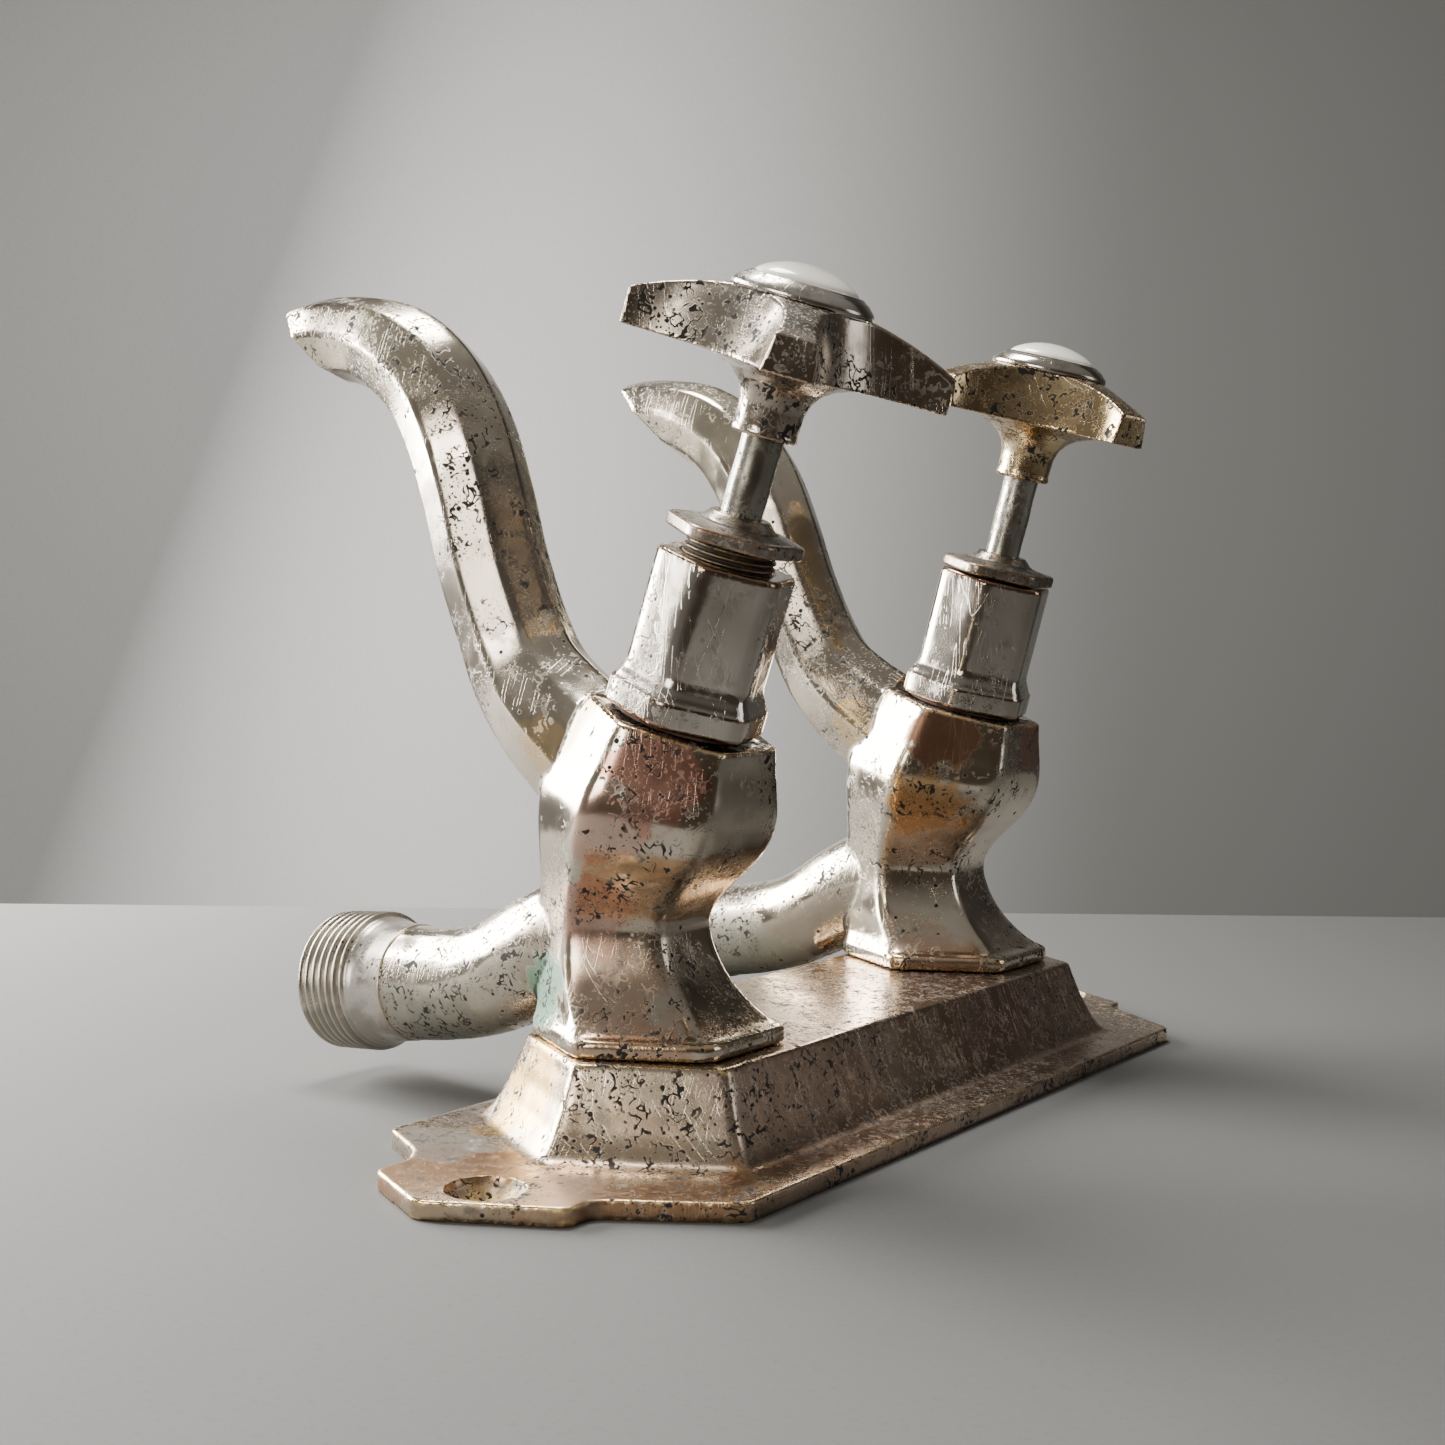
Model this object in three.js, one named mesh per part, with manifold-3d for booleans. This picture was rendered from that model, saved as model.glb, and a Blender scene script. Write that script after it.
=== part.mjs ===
// Basin tap set: two screw-down taps standing on one raised mounting plate.
// Millimetres. +Z points up from the back of the plate, +Y runs along the plate
// from the near tap to the far tap, and the spouts and inlet tails point to -X.

import * as THREE from "three";
import { mergeVertices } from "three/addons/utils/BufferGeometryUtils.js";
import Module from "manifold-3d";

const wasm = await Module();
wasm.setup();

// ---------------------------------------------------------------- driving dimensions

const TAP_SPACING = 102; // between the two tap axes
const RAD = Math.PI / 180;
const FINE = 20; // facets round a turned piece that shows
const COARSE = 12; // facets round a hidden bore or pin
const UP = new THREE.Vector3(0, 0, 1);
const GAP = 0.15; // between pieces that bear on each other

const PLATE = {
  thickness: 3.2,
  cornerRadius: 1.8,
  top: 17.6,
  wall: 3.2,
  holeRadius: 3.1,
  sinkRadius: 6.2,
  holeX: 3.3,
  holeY: 97.6,
};
// One end of the flange, from its wide side round the pointed tab to its narrow side.
const FLANGE_END = [
  [38.4, 79.0],
  [23.0, 89.4],
  [19.3, 92.0],
  [19.3, 97.1],
  [-1.0, 108.5],
  [-16.8, 101.0],
  [-16.8, 93.6],
  [-20.5, 89.0],
  [-32.0, 83.0],
];
// The raised box is an elongated hexagon: [height, half width] of its concave sides.
const BOX_CENTRE_X = 1.3;
const BOX_SIDES = [
  [1.6, 29.6],
  [3.2, 29.3],
  [3.8, 27.7],
  [5.5, 26.1],
  [9.0, 24.3],
  [13.5, 22.5],
  [PLATE.top, 21.1],
];
const BOX_TOP_HALF_WIDTH = 21.3;
const BOX_TOP_APEX_Y = 75.2;

// Tap frame: origin at the centre of the foot, on top of the plate's box.
const FOOT_X = -1.0; // foot centre in the plate frame
const HEAD_BASE = [4.2, 54.2]; // x and z of the centre of the body's top face

// Hexagonal body sections: x and z of the centre, corner radius, share of the head's lean.
const FOOT_SECTIONS = [
  [0, 0, 22.4, 0],
  [0, 2.9, 22.4, 0],
  [-1.2, 3.4, 21.0, 0],
];
const VASE_SECTIONS = [
  [-3.0, 5.9, 19.2, 0],
  [-5.3, 9.4, 17.7, 0],
  [-6.8, 13.4, 16.4, 0],
  [-7.6, 17.9, 15.5, 0],
  [-7.4, 21.4, 15.5, 0.05],
  [-6.0, 25.4, 16.6, 0.16],
  [-3.9, 29.9, 18.6, 0.3],
  [-2.2, 34.4, 20.3, 0.44],
  [-0.9, 38.9, 21.0, 0.57],
  [0.3, 42.9, 20.6, 0.68],
  [1.6, 46.6, 19.4, 0.79],
  [2.8, 50.4, 18.2, 0.9],
  [...HEAD_BASE, 17.0, 1],
];

// Spout centre line: x, z and corner radius of the octagonal arm.
const SPOUT_PATH = [
  [-7.0, 40.4, 13.5],
  [-14.0, 46.9, 12.8],
  [-22.5, 53.4, 12.0],
  [-29.3, 60.4, 11.0],
  [-34.0, 68.9, 10.4],
  [-38.9, 80.4, 10.4],
  [-42.8, 92.7, 10.4],
  [-47.3, 104.0, 10.4],
  [-53.6, 113.2, 10.1],
  [-61.8, 119.3, 9.6],
  [-71.5, 122.8, 8.5],
  [-82.5, 123.7, 8.3],
  [-93.0, 121.5, 8.3],
  [-103.0, 117.1, 8.3],
];
const SPOUT_STEPS = 19;
const SPOUT_JOINT = 0.19; // share of the path that belongs to the body
const SPOUT_PIVOT = [-22.5, 53.4]; // the arm droops about this point
const SPOUT_BORE = 6.4;
const MOUTH_TIP = [-90.4, 130.6];
const MOUTH_HEEL = [-77.0, 115.2];

// Inlet tail centre line: x, z and radius; the threaded end follows it.
const TAIL_PATH = [
  [-8.0, 16.5, 12.0],
  [-17.0, 14.6, 11.8],
  [-25.0, 11.6, 11.2],
  [-32.0, 8.0, 10.6],
  [-40.0, 4.8, 10.4],
  [-49.0, 3.0, 10.6],
  [-58.0, 2.1, 10.9],
];
const TAIL_STEPS = 8;
const TAIL_JOINT = 0.36; // share of the path that belongs to the body
const TAIL_DROOP = 5; // degrees the threaded end points below level
const TAIL_BORE = 6.8;
const TAIL_THREAD = { radius: 13.2, pitch: 1.81, depth: 1.1, turns: 7 };
const TAIL_BARREL = 6.2; // flared length behind the thread

// Fixing under the plate: the body's spigot, its backnut and its fibre washer.
const SPIGOT = { radius: 8.0, length: 12.0, chamfer: 0.8 };
const BACKNUT = { corner: 13.6, thickness: 5.0, washer: 1.4, washerRadius: 12.5 };

// Headwork heights are measured along its own axis from the body's top face.
const BONNET = {
  washer: 0.7,
  flangeTop: 5.2,
  neckTop: 8.6,
  top: 28.0,
  flangeCorner: 14.5,
  corner: 12.6,
  shankRadius: 10.0,
  shankEnd: -9.5,
  turn: 17,
};
const SPINDLE = {
  radius: 3.55,
  screwRadius: 6.1,
  screwBottom: -11.2,
  screwTop: 12.6,
  shoulder: 14.0,
  seatTop: 51.6,
  tenonRadius: 2.9,
  top: 66.4,
};
const GLAND = {
  corner: 12.4,
  thickness: 2.4,
  shankRadius: 8.0,
  shankLength: 6.6,
  pocketRadius: 8.2,
  pocketBottom: 17.0,
  coneHeight: 2.4,
  bore: 3.7,
};
const VALVE = {
  seat: -23.2,
  seatRadius: 5.5,
  chamberRadius: 9.3,
  discRadius: 7.4,
  discTop: -11.3,
  discThickness: 2.5,
  washerThickness: 3.0,
  stemRadius: 2.0,
  stemTop: -3.6,
};
const HANDLE = {
  collarBottom: 49.0,
  underside: 60.3,
  armLength: 27.0,
  tipHalfWidth: 4.2,
  valley: 10.6,
  topTipHalfWidth: 2.4,
  topValley: 7.7,
  domeRadius: 64.0,
  domeApex: 72.3,
  indexSeat: 70.9,
  indexSeatRadius: 12.3,
};
// Angles in degrees. Set by hand, the two castings differ a little: how far each stands and
// leans to +X, how its spout droops and stops short, and how far its gland nut is backed off.
const TAPS = [
  {
    name: "near",
    side: -1,
    shift: 0.6,
    lean: 18.4,
    headShift: 0,
    spoutDroop: 0,
    spoutShort: 0,
    tailDroop: 0,
    handleTurn: 36.5,
    glandLift: 3.2,
  },
  {
    name: "far",
    side: 1,
    shift: -0.6,
    lean: 14.5,
    headShift: -0.8,
    spoutDroop: 3.8,
    spoutShort: 7.4,
    tailDroop: 3.5,
    handleTurn: -20,
    glandLift: 0.3,
  },
];

// ---------------------------------------------------------------- materials

const finish = {
  plated: { color: 0xb9b2a6, roughness: 0.24, metalness: 1 },
  plate: { color: 0xa08a74, roughness: 0.34, metalness: 1 },
  brass: { color: 0xb08d4e, roughness: 0.4, metalness: 1 },
  fibre: { color: 0x7c3f2c, roughness: 0.85, metalness: 0 },
  rubber: { color: 0x1f1f20, roughness: 0.8, metalness: 0 },
  packing: { color: 0x8a8168, roughness: 0.95, metalness: 0 },
  porcelain: { color: 0xf1ece0, roughness: 0.18, metalness: 0 },
};

// ---------------------------------------------------------------- solids

// Closed, welded geometry whose faces point outwards.
function closed(geometry) {
  geometry.deleteAttribute("normal");
  geometry.deleteAttribute("uv");
  const welded = mergeVertices(geometry, 1e-4);
  const p = welded.getAttribute("position");
  const index = welded.index.array;
  const a = new THREE.Vector3();
  const b = new THREE.Vector3();
  const c = new THREE.Vector3();
  let volume = 0;
  for (let i = 0; i < index.length; i += 3) {
    a.fromBufferAttribute(p, index[i]);
    b.fromBufferAttribute(p, index[i + 1]);
    c.fromBufferAttribute(p, index[i + 2]);
    volume += a.dot(b.cross(c));
  }
  if (volume < 0) {
    for (let i = 0; i < index.length; i += 3) {
      [index[i + 1], index[i + 2]] = [index[i + 2], index[i + 1]];
    }
  }
  return welded;
}

function toManifold(geometry) {
  const welded = closed(geometry.clone());
  return new wasm.Manifold(
    new wasm.Mesh({
      numProp: 3,
      vertProperties: new Float32Array(welded.getAttribute("position").array),
      triVerts: new Uint32Array(welded.index.array),
    }),
  );
}

function fromManifold(solid) {
  const mesh = solid.getMesh();
  const geometry = new THREE.BufferGeometry();
  geometry.setAttribute("position", new THREE.BufferAttribute(new Float32Array(mesh.vertProperties), 3));
  geometry.setIndex(new THREE.BufferAttribute(new Uint32Array(mesh.triVerts), 1));
  return geometry;
}

function join(...geometries) {
  return fromManifold(geometries.map(toManifold).reduce((a, b) => a.add(b)));
}

function cut(geometry, ...tools) {
  return fromManifold(tools.map(toManifold).reduce((a, b) => a.subtract(b), toManifold(geometry)));
}

function common(a, b) {
  return fromManifold(toManifold(a).intersect(toManifold(b)));
}

// A stack of rings with equal point counts, capped at both ends.
function loft(rings) {
  const count = rings[0].length;
  const points = rings.flat();
  const ends = [rings[0], rings[rings.length - 1]].map((ring) =>
    ring.reduce((sum, v) => sum.add(v), new THREE.Vector3()).divideScalar(count),
  );
  const first = points.length;
  const index = [];
  for (let r = 0; r + 1 < rings.length; r++) {
    for (let i = 0; i < count; i++) {
      const j = (i + 1) % count;
      const low = r * count;
      const high = low + count;
      index.push(low + i, low + j, high + j, low + i, high + j, high + i);
    }
  }
  const last = (rings.length - 1) * count;
  for (let i = 0; i < count; i++) {
    const j = (i + 1) % count;
    index.push(first, j, i, first + 1, last + i, last + j);
  }
  const geometry = new THREE.BufferGeometry().setFromPoints([...points, ...ends]);
  geometry.setIndex(index);
  return closed(geometry);
}

// A solid turned about Z from [radius, height] points.
function turned(profile, facets = FINE) {
  const points = profile.map(([r, z]) => new THREE.Vector2(r, z));
  const geometry = new THREE.LatheGeometry(points, facets);
  geometry.rotateX(Math.PI / 2);
  return closed(geometry);
}

// A ring turned about Z: its profile is closed back to the first point.
function turnedRing(profile, facets = FINE) {
  return turned([...profile, profile[0]], facets);
}

function rod(radius, bottom, top, facets = COARSE) {
  return turned([[0, bottom], [radius, bottom], [radius, top], [0, top]], facets);
}

function tube(outer, inner, bottom, top, facets = FINE) {
  return turnedRing([[inner, bottom], [outer, bottom], [outer, top], [inner, top]], facets);
}

// A hexagonal prism about Z; at turn 0 its corners lie at -Y and +Y.
function hexPrism(corner, bottom, top, turn = 0) {
  const geometry = new THREE.CylinderGeometry(corner, corner, top - bottom, 6);
  geometry.rotateX(Math.PI / 2);
  geometry.rotateZ(turn * RAD);
  geometry.translate(0, 0, (bottom + top) / 2);
  return closed(geometry);
}

// Profile points of a row of thread crests, from the bottom up.
function threadCrests(radius, depth, pitch, turns, bottom) {
  const points = [];
  for (let i = 0; i < turns; i++) {
    const z = bottom + i * pitch;
    points.push([radius - depth, z], [radius, z + pitch / 2]);
  }
  points.push([radius - depth, bottom + turns * pitch]);
  return points;
}

// A ring of points in the plane across a path that runs in XZ.
function sectionRing(x, z, tangentX, tangentZ, radius, sides) {
  const ring = [];
  for (let i = 0; i < sides; i++) {
    const angle = (i * 2 * Math.PI) / sides;
    const across = radius * Math.sin(angle);
    ring.push(
      new THREE.Vector3(x - tangentZ * across, -radius * Math.cos(angle), z + tangentX * across),
    );
  }
  return ring;
}

// A bar along a smooth curve through [x, z, radius] points, between two shares of it.
function bar(path, sides, steps, from = 0, to = 1, fixedRadius = null) {
  const curve = new THREE.CatmullRomCurve3(path.map(([x, z, r]) => new THREE.Vector3(x, r, z)));
  const rings = [];
  for (let i = 0; i <= steps; i++) {
    const share = from + ((to - from) * i) / steps;
    const point = curve.getPoint(share);
    const tangent = curve.getTangent(share);
    const length = Math.hypot(tangent.x, tangent.z);
    rings.push(
      sectionRing(
        point.x,
        point.z,
        tangent.x / length,
        tangent.z / length,
        fixedRadius ?? point.y,
        sides,
      ),
    );
  }
  return loft(rings);
}

// A block that covers everything past a point of a path, on its far or near side.
function halfSpace(path, share, ahead, clearance = 0) {
  const size = 80;
  const curve = new THREE.CatmullRomCurve3(path.map(([x, z]) => new THREE.Vector3(x, 0, z)));
  const point = curve.getPoint(share);
  const tangent = curve.getTangent(share);
  const geometry = new THREE.BoxGeometry(size, size, size);
  geometry.translate((ahead ? 1 : -1) * (size / 2 + clearance), 0, 0);
  geometry.rotateY(-Math.atan2(tangent.z, tangent.x));
  geometry.translate(point.x, 0, point.z);
  return closed(geometry);
}

// ---------------------------------------------------------------- mounting plate

// An elongated hexagon with 30 degree ends, from its half width.
function boxOutline(halfWidth) {
  const grow = halfWidth - BOX_TOP_HALF_WIDTH;
  const apex = BOX_TOP_APEX_Y + grow / Math.cos(30 * RAD);
  const corner = apex - halfWidth * Math.tan(30 * RAD);
  return [
    [0, -apex],
    [halfWidth, -corner],
    [halfWidth, corner],
    [0, apex],
    [-halfWidth, corner],
    [-halfWidth, -corner],
  ];
}

function boxLoft(levels) {
  return loft(
    levels.map(([z, halfWidth]) =>
      boxOutline(halfWidth).map(([x, y]) => new THREE.Vector3(BOX_CENTRE_X + x, y, z)),
    ),
  );
}

// The flange outline is the same at both ends; its corners are eased.
function flangeShape() {
  const corners = [...FLANGE_END, ...FLANGE_END.map(([x, y]) => [x, -y]).reverse()];
  const points = corners.map(([x, y]) => new THREE.Vector2(x, y));
  const shape = new THREE.Shape();
  points.forEach((corner, i) => {
    const before = points[(i + points.length - 1) % points.length];
    const after = points[(i + 1) % points.length];
    const start = corner.clone().add(before.clone().sub(corner).setLength(PLATE.cornerRadius));
    const end = corner.clone().add(after.clone().sub(corner).setLength(PLATE.cornerRadius));
    if (i === 0) shape.moveTo(start.x, start.y);
    else shape.lineTo(start.x, start.y);
    shape.quadraticCurveTo(corner.x, corner.y, end.x, end.y);
  });
  return shape;
}

function screwHole(y) {
  const sinkDepth = PLATE.sinkRadius - PLATE.holeRadius;
  const tool = turned([
    [0, -1],
    [PLATE.holeRadius, -1],
    [PLATE.holeRadius, PLATE.thickness - sinkDepth],
    [PLATE.sinkRadius, PLATE.thickness],
    [PLATE.sinkRadius, PLATE.thickness + 1],
    [0, PLATE.thickness + 1],
  ]);
  tool.translate(PLATE.holeX, y, 0);
  return tool;
}

function makePlate() {
  const flange = new THREE.ExtrudeGeometry(flangeShape(), {
    depth: PLATE.thickness,
    bevelEnabled: false,
    curveSegments: 2,
  });
  const hollow = boxLoft([
    [-1, 24.0],
    [2.0, 23.4],
    [6.0, 20.6],
    [PLATE.top - PLATE.wall, 18.2],
  ]);
  const spigotHoles = TAPS.map((tap) => {
    const tool = rod(SPIGOT.radius + 0.3, 0, PLATE.top + 1, FINE);
    tool.translate(FOOT_X + tap.shift, (tap.side * TAP_SPACING) / 2, 0);
    return tool;
  });
  return cut(
    join(flange, boxLoft(BOX_SIDES)),
    hollow,
    screwHole(-PLATE.holeY),
    screwHole(PLATE.holeY),
    ...spigotHoles,
  );
}

// ---------------------------------------------------------------- tap body, spout and tail

function hexRing([x, z, corner, leanShare], tap) {
  const tilt = leanShare * tap.lean * RAD;
  const ring = [];
  for (let i = 0; i < 6; i++) {
    const angle = (i * Math.PI) / 3;
    const across = corner * Math.sin(angle);
    ring.push(
      new THREE.Vector3(
        x + leanShare * tap.headShift + across * Math.cos(tilt),
        -corner * Math.cos(angle),
        z - across * Math.sin(tilt),
      ),
    );
  }
  return ring;
}

// Places headwork geometry, made about Z, on the tap's leaning head axis.
function onHeadAxis(geometry, tap) {
  geometry.rotateY(tap.lean * RAD);
  geometry.translate(HEAD_BASE[0] + tap.headShift, 0, HEAD_BASE[1]);
  return geometry;
}

// Lowers whatever lies to -X of a pivot by turning it about the pivot.
function droop(geometry, [x, z], degrees) {
  geometry.translate(-x, 0, -z);
  geometry.rotateY(-degrees * RAD);
  geometry.translate(x, 0, z);
  return geometry;
}

function droopSpout(geometry, tap) {
  return droop(geometry, SPOUT_PIVOT, tap.spoutDroop);
}

function droopTail(geometry, tap) {
  return droop(geometry, TAIL_PATH[1], tap.tailDroop);
}

// The waterways: spot face and thread for the headwork, chamber, seat, inlet and outlet bores.
function waterways(tap) {
  const inlet = bar(
    [[-4.6, 27.0], [-6.6, 20.5], [-12.0, 15.8], [-19.0, 13.9], [-26.0, 11.2], [-33.0, 7.6]],
    COARSE,
    7,
    0,
    1,
    VALVE.seatRadius,
  );
  const outlet = bar(
    [[0.5, 38.6], [-7.0, 42.4], [-14.0, 46.9], [-22.5, 53.4], [-29.3, 60.4]],
    COARSE,
    6,
    0,
    1,
    SPOUT_BORE,
  );
  return [
    onHeadAxis(rod(BONNET.flangeCorner + 0.7, 0, 14, FINE), tap),
    onHeadAxis(rod(BONNET.shankRadius + GAP, BONNET.shankEnd, 4, FINE), tap),
    onHeadAxis(rod(VALVE.chamberRadius, VALVE.seat, BONNET.shankEnd + 0.5, FINE), tap),
    onHeadAxis(rod(VALVE.seatRadius, VALVE.seat - 8, VALVE.seat + 1), tap),
    droopTail(inlet, tap),
    droopSpout(outlet, tap),
  ];
}

function makeBody(tap) {
  const vase = loft([...FOOT_SECTIONS, ...VASE_SECTIONS].map((section) => hexRing(section, tap)));
  const spigot = turned([
    [0, -SPIGOT.length],
    [SPIGOT.radius - SPIGOT.chamfer, -SPIGOT.length],
    [SPIGOT.radius, SPIGOT.chamfer - SPIGOT.length],
    [SPIGOT.radius, 1],
    [0, 1],
  ]);
  const spoutRoot = droopSpout(bar(SPOUT_PATH, 8, 7, 0, SPOUT_JOINT), tap);
  const tailRoot = droopTail(bar(TAIL_PATH, FINE, 4, 0, TAIL_JOINT), tap);
  return cut(join(vase, spigot, spoutRoot, tailRoot), ...waterways(tap));
}

function makeSpout(tap) {
  const arm = bar(SPOUT_PATH, 8, SPOUT_STEPS, SPOUT_JOINT + 0.01, 1);
  const bore = bar(SPOUT_PATH, COARSE, SPOUT_STEPS - 5, SPOUT_JOINT - 0.02, 1, SPOUT_BORE);
  const back = halfSpace(SPOUT_PATH, SPOUT_JOINT, false, -2 * GAP);
  const mouth = new THREE.BoxGeometry(80, 40, 40);
  mouth.translate(0, 0, -20);
  const rise = MOUTH_TIP[1] - MOUTH_HEEL[1];
  const reach = MOUTH_TIP[0] - MOUTH_HEEL[0];
  mouth.rotateY(-Math.atan(rise / reach));
  mouth.translate(
    (MOUTH_TIP[0] + MOUTH_HEEL[0]) / 2 + tap.spoutShort,
    0,
    (MOUTH_TIP[1] + MOUTH_HEEL[1]) / 2,
  );
  return droopSpout(cut(arm, bore, back, mouth), tap);
}

function makeTail(tap) {
  const [endX, endZ, endRadius] = TAIL_PATH[TAIL_PATH.length - 1];
  const neck = bar(TAIL_PATH, FINE, TAIL_STEPS, TAIL_JOINT + 0.01, 1);
  const root = TAIL_THREAD.radius - TAIL_THREAD.depth;
  const threadEnd = TAIL_BARREL + TAIL_THREAD.turns * TAIL_THREAD.pitch;
  const end = turned([
    [0, -1.5],
    [endRadius, -1.5],
    [endRadius, 0],
    [root - 0.2, TAIL_BARREL * 0.5],
    [root + 0.5, TAIL_BARREL - 0.9],
    ...threadCrests(
      TAIL_THREAD.radius,
      TAIL_THREAD.depth,
      TAIL_THREAD.pitch,
      TAIL_THREAD.turns,
      TAIL_BARREL,
    ),
    [0, threadEnd],
  ]);
  const endBore = rod(TAIL_BORE + 1.6, TAIL_BARREL - 2, threadEnd + 5, FINE);
  for (const piece of [end, endBore]) {
    piece.rotateY(-(90 + TAIL_DROOP) * RAD);
    piece.translate(endX, 0, endZ);
  }
  const bore = bar([...TAIL_PATH, [-66.0, 1.4, 0]], COARSE, TAIL_STEPS, 0.2, 1, TAIL_BORE);
  const back = halfSpace(TAIL_PATH, TAIL_JOINT, false, -2 * GAP);
  return droopTail(cut(join(neck, end), bore, endBore, back), tap);
}

// ---------------------------------------------------------------- headwork, about its own axis

function makeBonnetWasher() {
  return tube(12.0, BONNET.shankRadius + 0.3, GAP, BONNET.washer - GAP / 2);
}

function makeBonnet() {
  const flange = hexPrism(BONNET.flangeCorner, BONNET.washer, BONNET.flangeTop, BONNET.turn);
  const neck = loft(
    [
      [BONNET.flangeTop - 0.5, BONNET.flangeCorner - 0.6],
      [BONNET.flangeTop + 0.9, 13.7],
      [BONNET.neckTop - 1.2, 12.9],
      [BONNET.neckTop, BONNET.corner],
      [BONNET.top - 0.5, BONNET.corner],
      [BONNET.top, BONNET.corner - 0.5],
    ].map(([z, corner]) => {
      const ring = hexRing([0, z, corner, 0], TAPS[0]);
      ring.forEach((v) => v.applyAxisAngle(UP, BONNET.turn * RAD));
      return ring;
    }),
  );
  const shank = rod(BONNET.shankRadius, BONNET.shankEnd, BONNET.washer + 1, FINE);
  const bores = [
    rod(SPINDLE.screwRadius + 0.2, BONNET.shankEnd - 1, SPINDLE.shoulder, FINE),
    rod(GLAND.bore + 0.1, 0, BONNET.top, COARSE),
    rod(GLAND.pocketRadius, GLAND.pocketBottom, BONNET.top + 1, FINE),
  ];
  return cut(join(flange, neck, shank), ...bores);
}

function makeGlandNut(tap) {
  const under = BONNET.top + tap.glandLift;
  const top = under + GLAND.thickness;
  const plate = hexPrism(GLAND.corner, under, top, 1);
  const stem = turned([
    [0, under - GLAND.shankLength],
    [GLAND.shankRadius - 0.6, under - GLAND.shankLength],
    [GLAND.shankRadius, under - GLAND.shankLength + 0.6],
    [GLAND.shankRadius, under + 0.5],
    [9.4, top - 0.4],
    [9.0, top],
    [6.4, top + 0.7],
    [4.8, top + GLAND.coneHeight],
    [0, top + GLAND.coneHeight],
  ]);
  return cut(join(plate, stem), rod(GLAND.bore, 0, top + 5, FINE));
}

function makePacking(tap) {
  const top = BONNET.top + tap.glandLift - GLAND.shankLength;
  return tube(GLAND.pocketRadius - GAP, GLAND.bore, GLAND.pocketBottom + GAP, top - GAP);
}

function makeSpindle() {
  return turned([
    [0, VALVE.stemTop + 0.5],
    [VALVE.stemRadius + 0.1, VALVE.stemTop + 0.5],
    [VALVE.stemRadius + 0.1, SPINDLE.screwBottom],
    [SPINDLE.screwRadius - 0.8, SPINDLE.screwBottom],
    [SPINDLE.screwRadius, SPINDLE.screwBottom + 0.8],
    [SPINDLE.screwRadius, SPINDLE.screwTop - 0.8],
    [SPINDLE.screwRadius - 0.8, SPINDLE.screwTop],
    [SPINDLE.radius, SPINDLE.screwTop],
    [SPINDLE.radius, SPINDLE.seatTop],
    [SPINDLE.tenonRadius, SPINDLE.seatTop],
    [SPINDLE.tenonRadius, SPINDLE.top],
    [1.7, SPINDLE.top],
    [1.7, SPINDLE.top - 8.5],
    [0, SPINDLE.top - 8.5],
  ], 16);
}

function makeJumper() {
  const bottom = VALVE.discTop - VALVE.discThickness;
  return turned([
    [0, bottom - VALVE.washerThickness - 2.6],
    [1.5, bottom - VALVE.washerThickness - 2.6],
    [1.5, bottom],
    [VALVE.discRadius, bottom],
    [VALVE.discRadius, VALVE.discTop],
    [VALVE.stemRadius, VALVE.discTop],
    [VALVE.stemRadius, VALVE.stemTop],
    [0, VALVE.stemTop],
  ], COARSE);
}

function makeSeatWasher() {
  const top = VALVE.discTop - VALVE.discThickness - 0.05;
  return tube(VALVE.discRadius, 1.7, top - VALVE.washerThickness + 0.05, top, COARSE);
}

function makeWasherNut() {
  const top = VALVE.discTop - VALVE.discThickness - VALVE.washerThickness - 0.05;
  return cut(hexPrism(3.6, top - 2.3, top), rod(1.65, top - 3, top + 1));
}

// ---------------------------------------------------------------- handle, about the head axis

// A cross with square arm ends joined by circular hollows.
function crossOutline(length, tipHalfWidth, valley, height) {
  const centre =
    (length ** 2 + tipHalfWidth ** 2 - 2 * valley ** 2) / (2 * (length + tipHalfWidth) - 4 * valley);
  const radius = Math.SQRT2 * (centre - valley);
  const start = Math.atan2(tipHalfWidth - centre, length - centre);
  const end = Math.atan2(length - centre, tipHalfWidth - centre);
  const sweep = ((end - start) % (2 * Math.PI)) - (end > start ? 2 * Math.PI : 0);
  const points = [];
  const steps = 7;
  for (let arm = 0; arm < 4; arm++) {
    for (let i = 0; i <= steps; i++) {
      const angle = start + (sweep * i) / steps;
      const point = new THREE.Vector3(
        centre + radius * Math.cos(angle),
        centre + radius * Math.sin(angle),
        height,
      );
      points.push(point.applyAxisAngle(UP, (arm * Math.PI) / 2));
    }
  }
  return points;
}

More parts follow.
